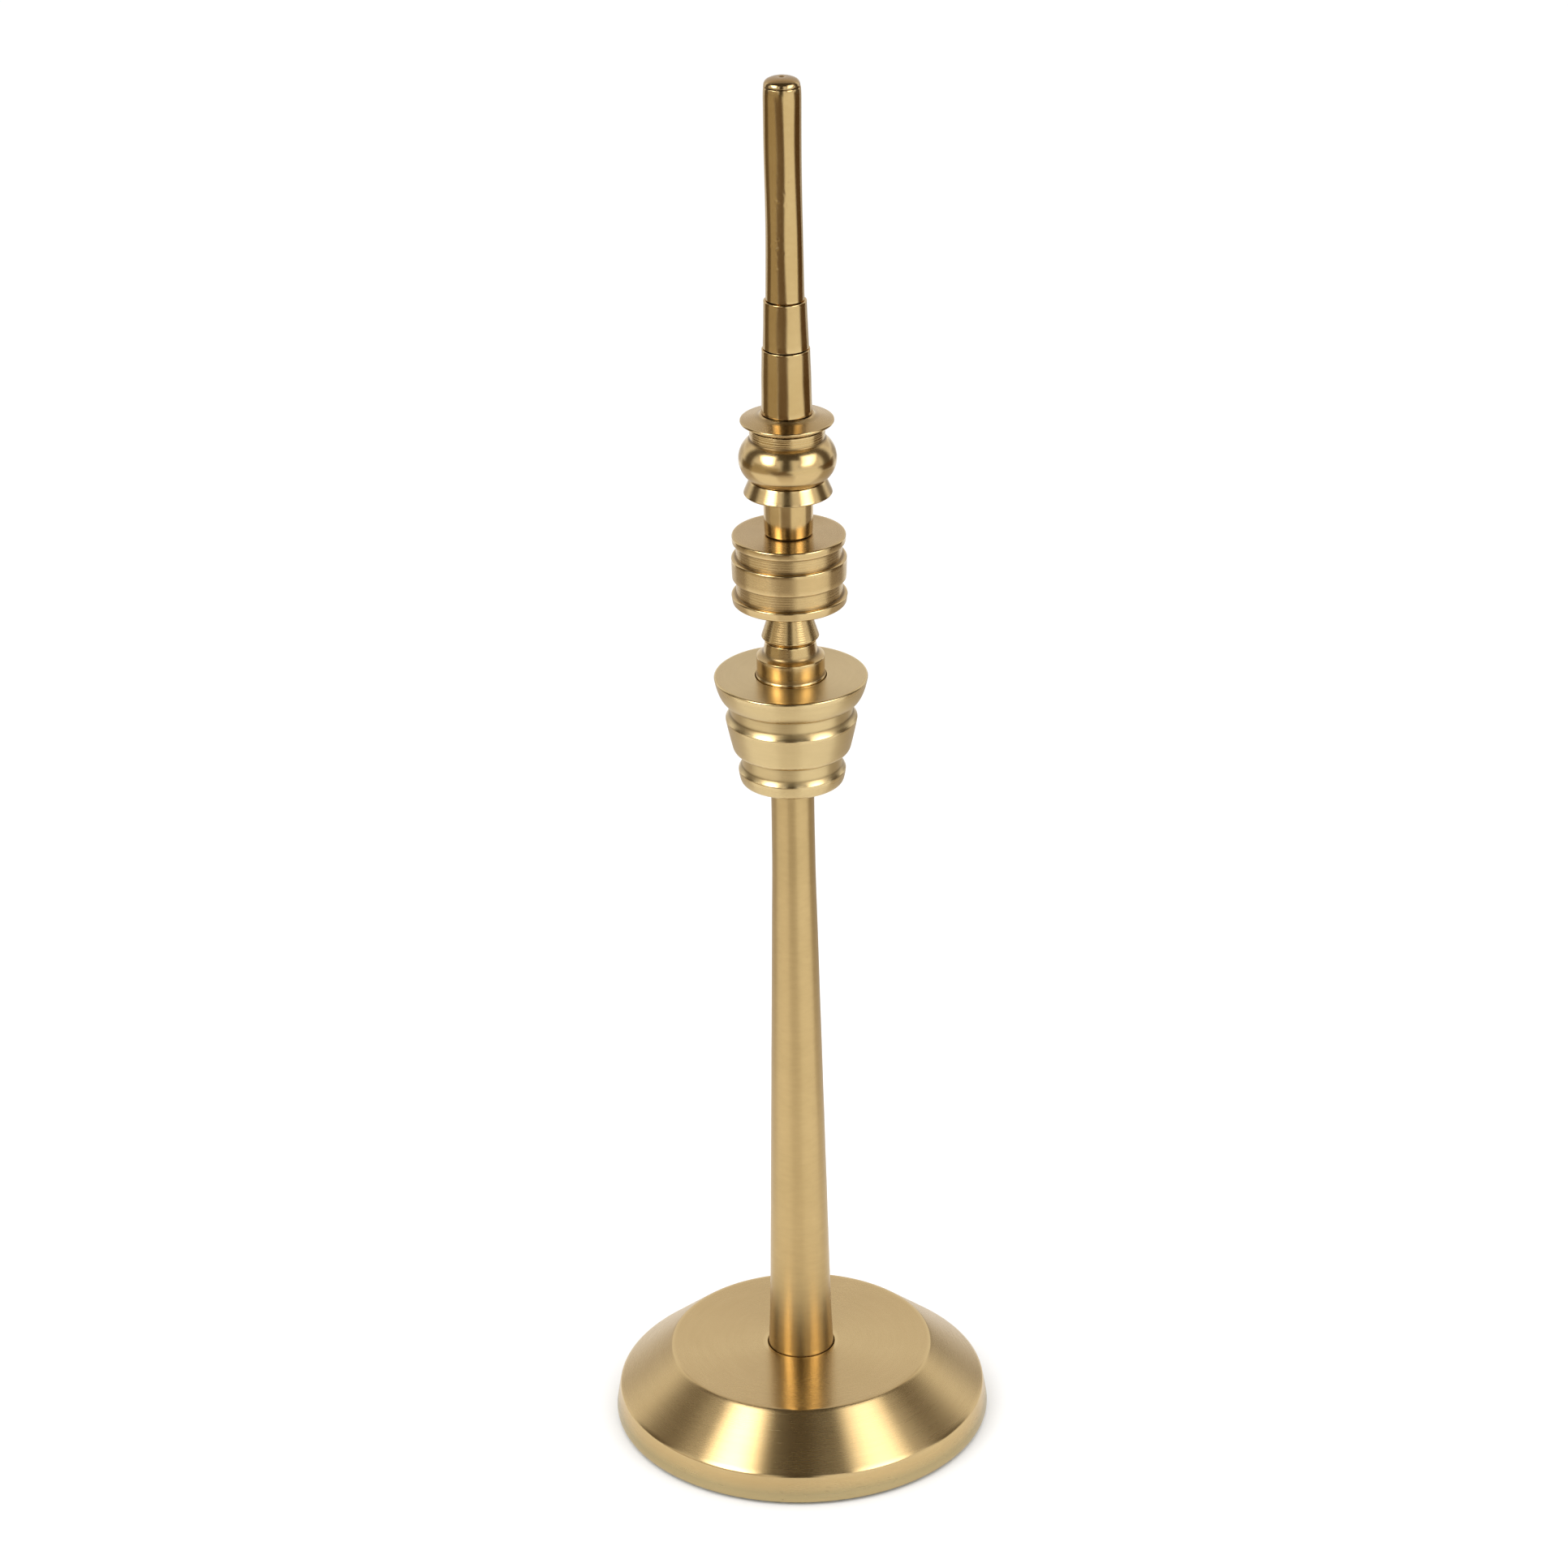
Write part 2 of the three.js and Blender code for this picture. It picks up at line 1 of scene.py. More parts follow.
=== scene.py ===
import math
import bpy
import numpy as np
from mathutils import Matrix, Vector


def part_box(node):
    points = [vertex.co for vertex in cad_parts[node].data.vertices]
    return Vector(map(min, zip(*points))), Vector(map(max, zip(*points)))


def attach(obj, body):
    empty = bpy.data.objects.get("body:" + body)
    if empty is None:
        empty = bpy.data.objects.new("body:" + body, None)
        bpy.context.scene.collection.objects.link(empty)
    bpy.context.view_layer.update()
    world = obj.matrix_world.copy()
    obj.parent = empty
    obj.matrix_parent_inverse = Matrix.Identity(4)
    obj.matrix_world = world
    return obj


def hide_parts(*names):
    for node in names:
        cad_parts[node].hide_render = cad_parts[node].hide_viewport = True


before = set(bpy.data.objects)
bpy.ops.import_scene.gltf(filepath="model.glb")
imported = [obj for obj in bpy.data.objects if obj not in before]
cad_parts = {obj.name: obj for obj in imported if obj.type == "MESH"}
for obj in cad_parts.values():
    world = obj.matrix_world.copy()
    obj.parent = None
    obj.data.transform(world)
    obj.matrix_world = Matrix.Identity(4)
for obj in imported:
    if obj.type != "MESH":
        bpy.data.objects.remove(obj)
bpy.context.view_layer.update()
mm = 0.001
print("frame loaded:", len(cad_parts), "nodes")

# How every turned outline is drawn, lengths in mm
drawing = {
    "trace": 0.05,         # spacing of the raw outline before it is thinned
    "longest": 2.4,        # longest step along a straight stretch
    "bend": 11.0,          # most degrees an outline turns between two points
    "hiddenLongest": 9.0,  # longest step inside bores and sockets
    "marksPerPitch": 6,    # least steps across one lathe ring
    "curveWindow": 0.35,   # width of the window that curvature is read over
    "wornGlintCurve": 0.5,      # outward curvature per mm that counts as full wear and full painted highlight
    "grimeAndShadeCurve": 0.7,     # inward curvature per mm that counts as full grime and full painted shade
    "markFade": 0.4,       # how far lathe rings take to fade in at the ends of their zone
    "markWaves": ((0.27, 1, 0), (0.15, 1.57, 1), (0.08, 0.61, 2)),  # share, rate and start of each sine
    "scuffAndShadeFade": 4.0,      # how far the scuffs and painted shade take to fade out at the top of their zone
}


def addNode(tree, kind, inputs=None, **settings):
    # inputs are sockets to link, or plain values
    node = tree.nodes.new(kind)
    for key, value in settings.items():
        setattr(node, key, value)
    for key, value in (inputs or {}).items():
        socket = node.inputs[key]
        if isinstance(value, bpy.types.NodeSocket):
            tree.links.new(value, socket)
        else:
            socket.default_value = value
    return node


def maths(tree, operation, a, b=0.0, clamp=False):
    return addNode(tree, "ShaderNodeMath", {0: a, 1: b}, operation=operation, use_clamp=clamp).outputs[0]


def spread(tree, value, low, high, toLow=0.0, toHigh=1.0):
    # value carried from the range low..high to toLow..toHigh, and held at its ends
    inputs = {"Value": value, "From Min": low, "From Max": high, "To Min": toLow, "To Max": toHigh}
    return addNode(tree, "ShaderNodeMapRange", inputs, clamp=True).outputs["Result"]


def blendColour(tree, share, a, b):
    node = addNode(tree, "ShaderNodeMix", data_type="RGBA")
    for socket, value in ((node.inputs[0], share), (node.inputs[6], a), (node.inputs[7], b)):
        if isinstance(value, bpy.types.NodeSocket):
            tree.links.new(value, socket)
        else:
            socket.default_value = value
    return node.outputs[2]


def emptyTree(name):
    material = bpy.data.materials.new(name)
    material.use_nodes = True
    material.node_tree.nodes.clear()
    return material, material.node_tree


def newMaterial(name):
    material, tree = emptyTree(name)
    shader = addNode(tree, "ShaderNodeBsdfPrincipled")
    output = addNode(tree, "ShaderNodeOutputMaterial", {"Surface": shader.outputs[0]})
    return material, tree, shader, output


def turnedCoordinates(tree, around, across):
    # A point as the lathe sees it: its direction from the axis times around, then its height and its radius
    # times across. Noise read there is drawn out in rings, and has no seam.
    place = addNode(tree, "ShaderNodeTexCoord").outputs["Object"]
    height = addNode(tree, "ShaderNodeSeparateXYZ", {0: place}).outputs[2]
    flat = addNode(tree, "ShaderNodeVectorMath", {0: place, 1: (1, 1, 0)}, operation="MULTIPLY").outputs[0]
    radius = addNode(tree, "ShaderNodeVectorMath", {0: flat}, operation="LENGTH").outputs["Value"]
    direction = addNode(tree, "ShaderNodeVectorMath", {0: flat}, operation="NORMALIZE").outputs[0]
    wide = addNode(tree, "ShaderNodeVectorMath", {0: direction, "Scale": around}, operation="SCALE")
    rise = addNode(tree, "ShaderNodeCombineXYZ", {2: maths(tree, "MULTIPLY", height, across)}).outputs[0]
    vector = addNode(tree, "ShaderNodeVectorMath", {0: wide.outputs[0], 1: rise}, operation="ADD").outputs[0]
    return vector, maths(tree, "MULTIPLY", radius, across)


def ringNoise(tree, around, across, detail=2.0):
    vector, w = turnedCoordinates(tree, around, across)
    inputs = {"Vector": vector, "W": w, "Scale": 1.0, "Detail": detail, "Roughness": 0.55}
    return addNode(tree, "ShaderNodeTexNoise", inputs, noise_dimensions="4D").outputs[0]


def plainNoise(tree, scale, detail=3.0, stretch=(1, 1, 1)):
    place = addNode(tree, "ShaderNodeTexCoord").outputs["Object"]
    mapped = addNode(tree, "ShaderNodeMapping", {"Vector": place, "Scale": stretch}).outputs[0]
    inputs = {"Vector": mapped, "Scale": scale, "Detail": detail, "Roughness": 0.55}
    return addNode(tree, "ShaderNodeTexNoise", inputs).outputs[0]


# The grain that all the brass shares. A pair is how often it repeats round the axis and across the marks, per
# turn and per metre, and a range is the part of a noise that carries from none to all.
brassGrain = {
    "fine": (5.0, 2600.0), "broad": (2.2, 520.0), "dashes": (20.0, 1500.0),
    "cloudScale": 24.0, "grainScale": 1300.0, "patchScale": 70.0,
    "fleckRange": (0.58, 0.72), "fleckPatches": (0.42, 0.62), "fleckOffRim": 0.04,
    "pitRange": (0.70, 0.76), "pitPatches": (0.5, 0.6),
    "scuffAndShadeColour": (0.300, 0.275, 0.157, 1), "scuffAndShadeShare": 0.5,
    "wornGlintColour": (0.74, 0.56, 0.29, 1), "wornGlintShare": 0.30, "wornShine": 0.12, "dirtRoughness": 0.25,
    "broadRelief": 0.12, "markRelief": 1.5,
}
# Brass as the lathe and the buffing wheel leave it. Roughness is for both directions together, and anisotropy
# says how much more it blurs across the marks than along them. Bump height is in mm.
brushedBrass = {
    "light": (0.560, 0.405, 0.197, 1), "dark": (0.510, 0.362, 0.168, 1), "grimeAndShade": (0.150, 0.092, 0.036, 1),
    "roughness": 0.255, "cloudRoughness": 0.03, "streakRoughness": 0.03, "anisotropy": 0.85,
    "bumpHeight": 0.0006, "flecks": 0.42, "pits": 0.10,
}
satinBrass = {
    "light": (0.560, 0.402, 0.188, 1), "dark": (0.475, 0.338, 0.152, 1), "grimeAndShade": (0.150, 0.092, 0.036, 1),
    "roughness": 0.31, "cloudRoughness": 0.06, "streakRoughness": 0.05, "anisotropy": 0.50,
    "bumpHeight": 0.0020, "flecks": 0.20, "pits": 0.14,
}
paleBrass = {
    "light": (0.625, 0.480, 0.246, 1), "dark": (0.555, 0.420, 0.212, 1), "grimeAndShade": (0.150, 0.092, 0.036, 1),
    "roughness": 0.30, "cloudRoughness": 0.05, "streakRoughness": 0.05, "anisotropy": 0.50,
    "bumpHeight": 0.0018, "flecks": 0.12, "pits": 0.12,
}
buffedBrass = {
    "light": (0.565, 0.408, 0.194, 1), "dark": (0.515, 0.362, 0.162, 1), "grimeAndShade": (0.120, 0.070, 0.026, 1),
    "roughness": 0.205, "cloudRoughness": 0.04, "streakRoughness": 0.04, "anisotropy": 0.45,
    "bumpHeight": 0.0018, "flecks": 0.12, "pits": 0.16,
}
polishedBrass = {
    "light": (0.565, 0.405, 0.190, 1), "dark": (0.505, 0.350, 0.152, 1), "grimeAndShade": (0.110, 0.062, 0.022, 1),
    "roughness": 0.150, "cloudRoughness": 0.05, "streakRoughness": 0.03, "anisotropy": 0.30,
    "bumpHeight": 0.0012, "flecks": 0.08, "pits": 0.30,
}
tarnishedBrass = {
    "light": (0.470, 0.320, 0.150, 1), "dark": (0.350, 0.228, 0.098, 1), "grimeAndShade": (0.060, 0.036, 0.016, 1),
    "roughness": 0.190, "cloudRoughness": 0.06, "streakRoughness": 0.03, "anisotropy": 0.30,
    "bumpHeight": 0.0015, "flecks": 0.15, "pits": 0.50,
}


def brassMaterial(name, finish):
    material, tree, shader, output = newMaterial(name)
    look = brassGrain
    fine = ringNoise(tree, *look["fine"], 3.0)
    broad = ringNoise(tree, *look["broad"], 2.0)
    dashes = ringNoise(tree, *look["dashes"], 1.0)
    cloud = plainNoise(tree, look["cloudScale"], 4.0)
    grains = plainNoise(tree, look["grainScale"], 1.0)
    patches = plainNoise(tree, look["patchScale"], 2.0)
    worn = addNode(tree, "ShaderNodeAttribute", attribute_name="edgeWearAndGlint").outputs["Fac"]
    sunk = addNode(tree, "ShaderNodeAttribute", attribute_name="cornerGrimeAndShade").outputs["Fac"]
    scuffedAndShaded = addNode(tree, "ShaderNodeAttribute", attribute_name="scuffAndShadeZone").outputs["Fac"]

    # colour: two brass tones in slow clouds and lathe streaks, dark flecks and pits, grime with painted shade
    # in inward corners, scuffs with painted shade low on the rim, and worn edges lightened as a painted
    # highlight
    tone = maths(tree, "ADD", spread(tree, cloud, 0.35, 0.65, 0, 0.65),
                 spread(tree, broad, 0.3, 0.7, 0, 0.35))
    colour = blendColour(tree, tone, finish["dark"], finish["light"])
    fleck = maths(tree, "MULTIPLY", spread(tree, dashes, *look["fleckRange"]),
                  spread(tree, patches, *look["fleckPatches"]))
    fleck = maths(tree, "MULTIPLY", fleck, spread(tree, scuffedAndShaded, 0, 1, look["fleckOffRim"], 1))
    pit = maths(tree, "MULTIPLY", spread(tree, grains, *look["pitRange"]),
                spread(tree, patches, *look["pitPatches"]))
    marks = maths(tree, "ADD", maths(tree, "MULTIPLY", fleck, finish["flecks"]),
                  maths(tree, "MULTIPLY", pit, finish["pits"]), True)
    # painted shade: inward corners darkened towards the grime colour, partly real grime
    dirtAndShade = maths(tree, "MULTIPLY", sunk, spread(tree, cloud, 0.3, 0.6, 0.35, 0.8))
    dirtAndShade = maths(tree, "ADD", dirtAndShade, marks, True)
    colour = blendColour(tree, dirtAndShade, colour, finish["grimeAndShade"])
    # the low rim is dulled towards grey brown: real scuffs, and painted shade that darkens it towards the
    # floor
    scuffAndShadeShare = maths(tree, "MULTIPLY", scuffedAndShaded, look["scuffAndShadeShare"])
    colour = blendColour(tree, scuffAndShadeShare, colour, look["scuffAndShadeColour"])
    # worn edges: real wear, and their lighter colour is also a painted highlight along the edges
    wornGlintShare = maths(tree, "MULTIPLY", worn, look["wornGlintShare"])
    colour = blendColour(tree, wornGlintShare, colour, look["wornGlintColour"])
    tree.links.new(colour, shader.inputs["Base Color"])

    # roughness: slow clouds and fine streaks, duller where dirty and shinier on worn edges
    rough = maths(tree, "ADD", spread(tree, cloud, 0.35, 0.7, 0, finish["cloudRoughness"]),
                  spread(tree, fine, 0.3, 0.7, 0, finish["streakRoughness"]))
    rough = maths(tree, "ADD", rough, finish["roughness"] - finish["streakRoughness"] / 2)
    rough = maths(tree, "ADD", rough, maths(tree, "MULTIPLY", dirtAndShade, look["dirtRoughness"]))
    rough = maths(tree, "SUBTRACT", rough, maths(tree, "MULTIPLY", worn, look["wornShine"]), True)
    tree.links.new(rough, shader.inputs["Roughness"])

    relief = maths(tree, "ADD", fine, maths(tree, "MULTIPLY", broad, look["broadRelief"]))
    relief = maths(tree, "SUBTRACT", relief, maths(tree, "MULTIPLY", marks, look["markRelief"]))
    bump = addNode(tree, "ShaderNodeBump", {"Height": relief, "Strength": 1.0,
                                            "Distance": finish["bumpHeight"] * mm})
    tree.links.new(bump.outputs[0], shader.inputs["Normal"])
    shader.inputs["Metallic"].default_value = 1.0
    shader.inputs["Anisotropic"].default_value = finish["anisotropy"]
    shader.inputs["Anisotropic Rotation"].default_value = 0.25  # a quarter turn: the marks run round the axis
    return material


castIron = {
    "light": (0.085, 0.080, 0.076, 1), "dark": (0.030, 0.028, 0.027, 1), "rust": (0.150, 0.062, 0.026, 1),
    "sandScale": 700.0, "lumpScale": 90.0, "stainScale": 45.0, "rustRange": (0.58, 0.72, 0, 0.7),
    "roughness": (0.62, 0.88), "bumpHeight": 0.25, "metallic": 0.6,
}


def ironMaterial(name, finish):
    material, tree, shader, output = newMaterial(name)
    sand = plainNoise(tree, finish["sandScale"], 4.0)
    lumps = plainNoise(tree, finish["lumpScale"], 3.0)
    stain = plainNoise(tree, finish["stainScale"], 5.0)
    colour = blendColour(tree, spread(tree, sand, 0.35, 0.65), finish["dark"], finish["light"])
    colour = blendColour(tree, spread(tree, stain, *finish["rustRange"]), colour, finish["rust"])
    tree.links.new(colour, shader.inputs["Base Color"])
    tree.links.new(spread(tree, sand, 0.3, 0.7, *finish["roughness"]), shader.inputs["Roughness"])
    relief = maths(tree, "ADD", sand, maths(tree, "MULTIPLY", lumps, 2.0))
    bump = addNode(tree, "ShaderNodeBump", {"Height": relief, "Strength": 0.9,
                                            "Distance": finish["bumpHeight"] * mm})
    tree.links.new(bump.outputs[0], shader.inputs["Normal"])
    shader.inputs["Metallic"].default_value = finish["metallic"]
    return material


zincSteel = {
    "light": (0.60, 0.61, 0.62, 1), "dark": (0.40, 0.415, 0.43, 1), "dull": (0.24, 0.235, 0.22, 1),
    "flakeScale": 650.0, "hazeScale": 160.0, "hazeRange": (0.5, 0.75, 0, 0.8), "lines": (4.0, 3000.0),
    "roughness": (0.24, 0.42), "lineRoughness": 0.08, "bumpHeight": 0.02,
}


def zincMaterial(name, finish):
    material, tree, shader, output = newMaterial(name)
    place = addNode(tree, "ShaderNodeTexCoord").outputs["Object"]
    spangle = addNode(tree, "ShaderNodeTexVoronoi", {"Vector": place, "Scale": finish["flakeScale"]})
    flake = addNode(tree, "ShaderNodeSeparateXYZ", {0: spangle.outputs["Color"]}).outputs[0]
    haze = plainNoise(tree, finish["hazeScale"], 4.0)
    lines = ringNoise(tree, *finish["lines"])
    colour = blendColour(tree, flake, finish["dark"], finish["light"])
    colour = blendColour(tree, spread(tree, haze, *finish["hazeRange"]), colour, finish["dull"])
    tree.links.new(colour, shader.inputs["Base Color"])
    rough = maths(tree, "ADD", spread(tree, haze, 0.3, 0.7, *finish["roughness"]),
                  spread(tree, lines, 0.3, 0.7, 0, finish["lineRoughness"]))
    tree.links.new(rough, shader.inputs["Roughness"])
    bump = addNode(tree, "ShaderNodeBump", {"Height": lines, "Strength": 0.8,
                                            "Distance": finish["bumpHeight"] * mm})
    tree.links.new(bump.outputs[0], shader.inputs["Normal"])
    shader.inputs["Metallic"].default_value = 1.0
    return material


baizeFelt = {
    "light": (0.030, 0.092, 0.052, 1), "dark": (0.010, 0.036, 0.020, 1), "lint": (0.16, 0.20, 0.15, 1),
    "fibreScale": 1500.0, "fibreStretch": 0.25, "wornScale": 40.0, "lintScale": 2600.0,
    "lintRange": (0.74, 0.80, 0, 0.7), "roughness": (0.86, 1.0), "bumpHeight": 0.25,
    "sheen": 0.15, "sheenRoughness": 0.5,
}


def feltMaterial(name, finish):
    material, tree, shader, output = newMaterial(name)
    fibres = plainNoise(tree, finish["fibreScale"], 4.0, (1.0, finish["fibreStretch"], 1.0))
    crossed = plainNoise(tree, finish["fibreScale"], 4.0, (finish["fibreStretch"], 1.0, 1.0))
    mat = maths(tree, "MAXIMUM", fibres, crossed)
    worn = plainNoise(tree, finish["wornScale"], 4.0)
    lint = plainNoise(tree, finish["lintScale"], 1.0)
    colour = blendColour(tree, spread(tree, mat, 0.42, 0.66), finish["dark"], finish["light"])
    colour = blendColour(tree, spread(tree, worn, 0.35, 0.75, 0, 0.4), colour, finish["light"])
    colour = blendColour(tree, spread(tree, lint, *finish["lintRange"]), colour, finish["lint"])
    tree.links.new(colour, shader.inputs["Base Color"])
    tree.links.new(spread(tree, worn, 0.3, 0.7, *finish["roughness"]), shader.inputs["Roughness"])
    bump = addNode(tree, "ShaderNodeBump", {"Height": mat, "Strength": 1.0,
                                            "Distance": finish["bumpHeight"] * mm})
    tree.links.new(bump.outputs[0], shader.inputs["Normal"])
    shader.inputs["Sheen Weight"].default_value = finish["sheen"]
    shader.inputs["Sheen Roughness"].default_value = finish["sheenRoughness"]
    return material


finishes = {
    "brushed": brassMaterial("brushedBrass", brushedBrass),
    "satin": brassMaterial("satinBrass", satinBrass),
    "pale": brassMaterial("paleBrass", paleBrass),
    "buffed": brassMaterial("buffedBrass", buffedBrass),
    "polished": brassMaterial("polishedBrass", polishedBrass),
    "tarnished": brassMaterial("tarnishedBrass", tarnishedBrass),
    "iron": ironMaterial("castIron", castIron),
    "zinc": zincMaterial("zincSteel", zincSteel),
    "felt": feltMaterial("baizeFelt", baizeFelt),
}
print("finishes made:", ", ".join(finishes))


def tracedOutline(entries):
    # Joins entries into evenly spaced points. (radius, height) is a straight stretch, and (controlRadius,
    # controlHeight, radius, height) the curve (1-t)^2 start + 2t(1-t) control + t^2 end.
    runs, start = [], np.array(entries[0], float)
    for entry in entries[1:]:
        entry = np.array(entry, float)
        end = entry[-2:]
        control = entry[:2] if len(entry) == 4 else (start + end) / 2
        length = np.linalg.norm(control - start) + np.linalg.norm(end - control)
        t = np.linspace(0, 1, max(2, int(length / drawing["trace"]) + 1))[:-1, None]
        runs.append((1 - t) ** 2 * start + 2 * t * (1 - t) * control + t ** 2 * end)
        start = end
    return np.vstack(runs + [start[None]])


def arcEntries(centre, radius, fromAngle, toAngle, steps=28):
    # points on a circle of the outline, angles in degrees from straight outwards
    angle = np.radians(np.linspace(fromAngle, toAngle, steps))
    return [(centre[0] + radius * c, centre[1] + radius * s) for c, s in zip(np.cos(angle), np.sin(angle))]


def smoothed(values, width, closed, signs=None):
    # Average over a bell-shaped window of that many points. An open outline goes on past its ends as its own
    # mirror image, with signs giving what changes sign there.
    reach = max(1, int(3 * width))
    bell = np.exp(-0.5 * (np.arange(-reach, reach + 1) / max(width, 1e-6)) ** 2)
    bell /= bell.sum()
    if closed:
        padded = np.concatenate([values[-reach:], values, values[:reach]])
    else:
        signs = np.ones(values.shape[1:]) if signs is None else signs
        before, after = values[1:reach + 1][::-1] * signs, values[-reach - 1:-1][::-1] * signs
        padded = np.concatenate([before, values, after])
    columns = padded.reshape(len(padded), -1).T
    return np.stack([np.convolve(c, bell, "valid") for c in columns], 1).reshape(values.shape)


def thinnedOutline(piece, scale):
    # The outline with its edges rounded, then thinned to close points on bends and in tool-marked zones and
    # wide ones on straights. Gives points, outward normals, edge wear with painted highlight, corner grime
    # with painted shade and how much is visible.
    closed = piece.get("closed", True)
    shown, hidden = list(piece["outline"]), list(piece.get("bore", []))
    loop = shown + hidden + ([shown[0]] if closed else [])
    raw = tracedOutline(loop)
    visibleLength = len(tracedOutline(shown))
    if closed:
        raw = raw[:-1]
    visible = (np.arange(len(raw)) < visibleLength).astype(float)
    points = smoothed(raw, piece["edge"] / drawing["trace"], closed, np.array([-1.0, 1.0]))
    if not closed:
        points[[0, -1], 0] = 0
    points = points * scale
    ahead = np.roll(points, -1, 0) - points
    if not closed:
        ahead[-1] = ahead[-2]
    gaps = np.maximum(np.linalg.norm(ahead, axis=1), 1e-9)
    heading = np.unwrap(np.arctan2(ahead[:, 1], ahead[:, 0]))
    before = np.roll(heading, 1)
    before[0] = heading[-1] - 2 * math.pi if closed else heading[0]
    turn = heading - before
    curve = smoothed(turn / drawing["trace"], drawing["curveWindow"] / drawing["trace"], closed)
    # outward curvature: real wear plus a painted highlight on the edges
    wearAndGlint = np.clip(curve / drawing["wornGlintCurve"], 0, 1) * visible
    # inward curvature: real grime plus painted shade in the corners
    grimeAndShade = np.clip(-curve / drawing["grimeAndShadeCurve"], 0, 1)
    step = np.where(visible > 0, piece.get("longest", drawing["longest"]), drawing["hiddenLongest"])
    for zone in piece.get("toolMarks", []):
        inside = (points[:, 1] > zone["low"]) & (points[:, 1] < zone["high"]) & (visible > 0)
        step = np.where(inside, np.minimum(step, zone["pitch"] / drawing["marksPerPitch"]), step)
    cost = gaps / step + np.abs(turn) / math.radians(drawing["bend"])
    run = np.concatenate([[0], np.cumsum(cost)])[:len(points) + (1 if closed else 0)]
    if closed:
        points, wearAndGlint, grimeAndShade, visible = (np.concatenate([a, a[:1]]) for a in (points, wearAndGlint, grimeAndShade, visible))
    count = int(math.ceil(run[-1]))
    stops = np.linspace(0, run[-1], count + 1)
    if closed:
        stops = stops[:-1]

    def pick(column):
        return np.interp(stops, run, column)

    points = np.stack([pick(points[:, 0]), pick(points[:, 1])], 1)
    if closed:
        along = np.roll(points, -1, 0) - np.roll(points, 1, 0)
    else:
        along = np.gradient(points, axis=0)
        points[[0, -1], 0] = 0
    normals = np.stack([along[:, 1], -along[:, 0]], 1)
    normals /= np.maximum(np.linalg.norm(normals, axis=1, keepdims=True), 1e-9)
    return points, normals, pick(wearAndGlint), pick(grimeAndShade), pick(visible)


def toolMarkDepth(piece, points, visible):
    # Lathe rings: three sines of unlike pitch added along the outline, faded at the ends of their zone
    depth = np.zeros(len(points))
    travel = np.concatenate([[0], np.cumsum(np.linalg.norm(np.diff(points, axis=0), axis=1))])
    for zone in piece.get("toolMarks", []):
        rise = np.clip((points[:, 1] - zone["low"]) / drawing["markFade"], 0, 1)
        fall = np.clip((zone["high"] - points[:, 1]) / drawing["markFade"], 0, 1)
        turns = 2 * math.pi * travel / zone["pitch"]
        wave = 0.5
        for share, rate, start in drawing["markWaves"]:
            wave = wave + share * np.sin(rate * turns + start)
        depth += zone["depth"] * (rise * fall) * wave * (visible > 0.5)
    return depth


def handWaves(piece, height, angle, seed):
    # Slow unevenness left by hand polishing: a few crossed waves round and up the piece, from 0 to 1
    rng = np.random.default_rng(seed)
    total = np.zeros((len(height), len(angle)))
    waves = piece["waves"]
    for count in range(waves["number"]):
        lobes = int(rng.integers(1, waves.get("lobes", 4) + 1))
        length = waves["length"] * rng.uniform(0.5, 1.8)
        phase = rng.uniform(0, 2 * math.pi, 2)
        climb = 2 * math.pi * height[:, None] / length + phase[0]
        total += np.cos(lobes * angle[None] + phase[1]) * np.cos(climb) * rng.uniform(0.4, 1)
        total += waves.get("ripple", 0.5) * np.cos(climb * 1.3 + phase[1])
    return (total - total.min()) / max(total.max() - total.min(), 1e-9)


def surfaceMesh(name, rows, closed):
    # Rows of points round the axis become rings of quads. A closed outline joins its last row to its first.
    # An open one starts and ends in a pole, one point joined to its ring by triangles.
    sides = rows.shape[1]
    inner = rows if closed else rows[1:-1]
    rings = len(inner)
    i = np.arange(rings if closed else rings - 1)[:, None]
    j = np.arange(sides)[None]
    nextJ = (j + 1) % sides
    here, there = i * sides, ((i + 1) % rings) * sides
    quads = np.stack([here + j, here + nextJ, there + nextJ, there + j], -1).reshape(-1, 4)
    points, fans = inner.reshape(-1, 3), np.zeros((0, 3), int)
    if not closed:
        pole, last = rings * sides, (rings - 1) * sides
        lowFan = np.stack([np.full(sides, pole), nextJ[0], j[0]], -1)
        highFan = np.stack([np.full(sides, pole + 1), last + j[0], last + nextJ[0]], -1)
        points, fans = np.concatenate([points, rows[0, :1], rows[-1, :1]]), np.concatenate([lowFan, highFan])
    loops = np.concatenate([quads.ravel(), fans.ravel()]).astype(np.int32)
    sizes = np.concatenate([np.full(len(quads), 4), np.full(len(fans), 3)]).astype(np.int32)
    mesh = bpy.data.meshes.new(name)
    mesh.vertices.add(len(points))
    mesh.vertices.foreach_set("co", points.astype(np.float32).ravel())
    mesh.loops.add(len(loops))
    mesh.loops.foreach_set("vertex_index", loops)
    mesh.polygons.add(len(sizes))
    mesh.polygons.foreach_set("loop_start", np.concatenate([[0], np.cumsum(sizes)[:-1]]).astype(np.int32))
    mesh.polygons.foreach_set("use_smooth", np.ones(len(sizes), bool))
    mesh.update(calc_edges=True)
    mesh.validate()
    return mesh


def pointAttribute(mesh, name, perRow, sides, closed):
    # one value for each row, in the order of surfaceMesh's points
    if closed:
        values = np.repeat(perRow, sides)
    else:
        values = np.concatenate([np.repeat(perRow[1:-1], sides), perRow[:1], perRow[-1:]])
    mesh.attributes.new(name, "FLOAT", "POINT").data.foreach_set("value", values.astype(np.float32))


def addPiece(name, mesh, piece):
    mesh.materials.append(finishes[piece["finish"]])
    made = bpy.data.objects.new(name, mesh)
    bpy.context.scene.collection.objects.link(made)
    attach(made, "root")
    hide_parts(piece["node"])
    return made


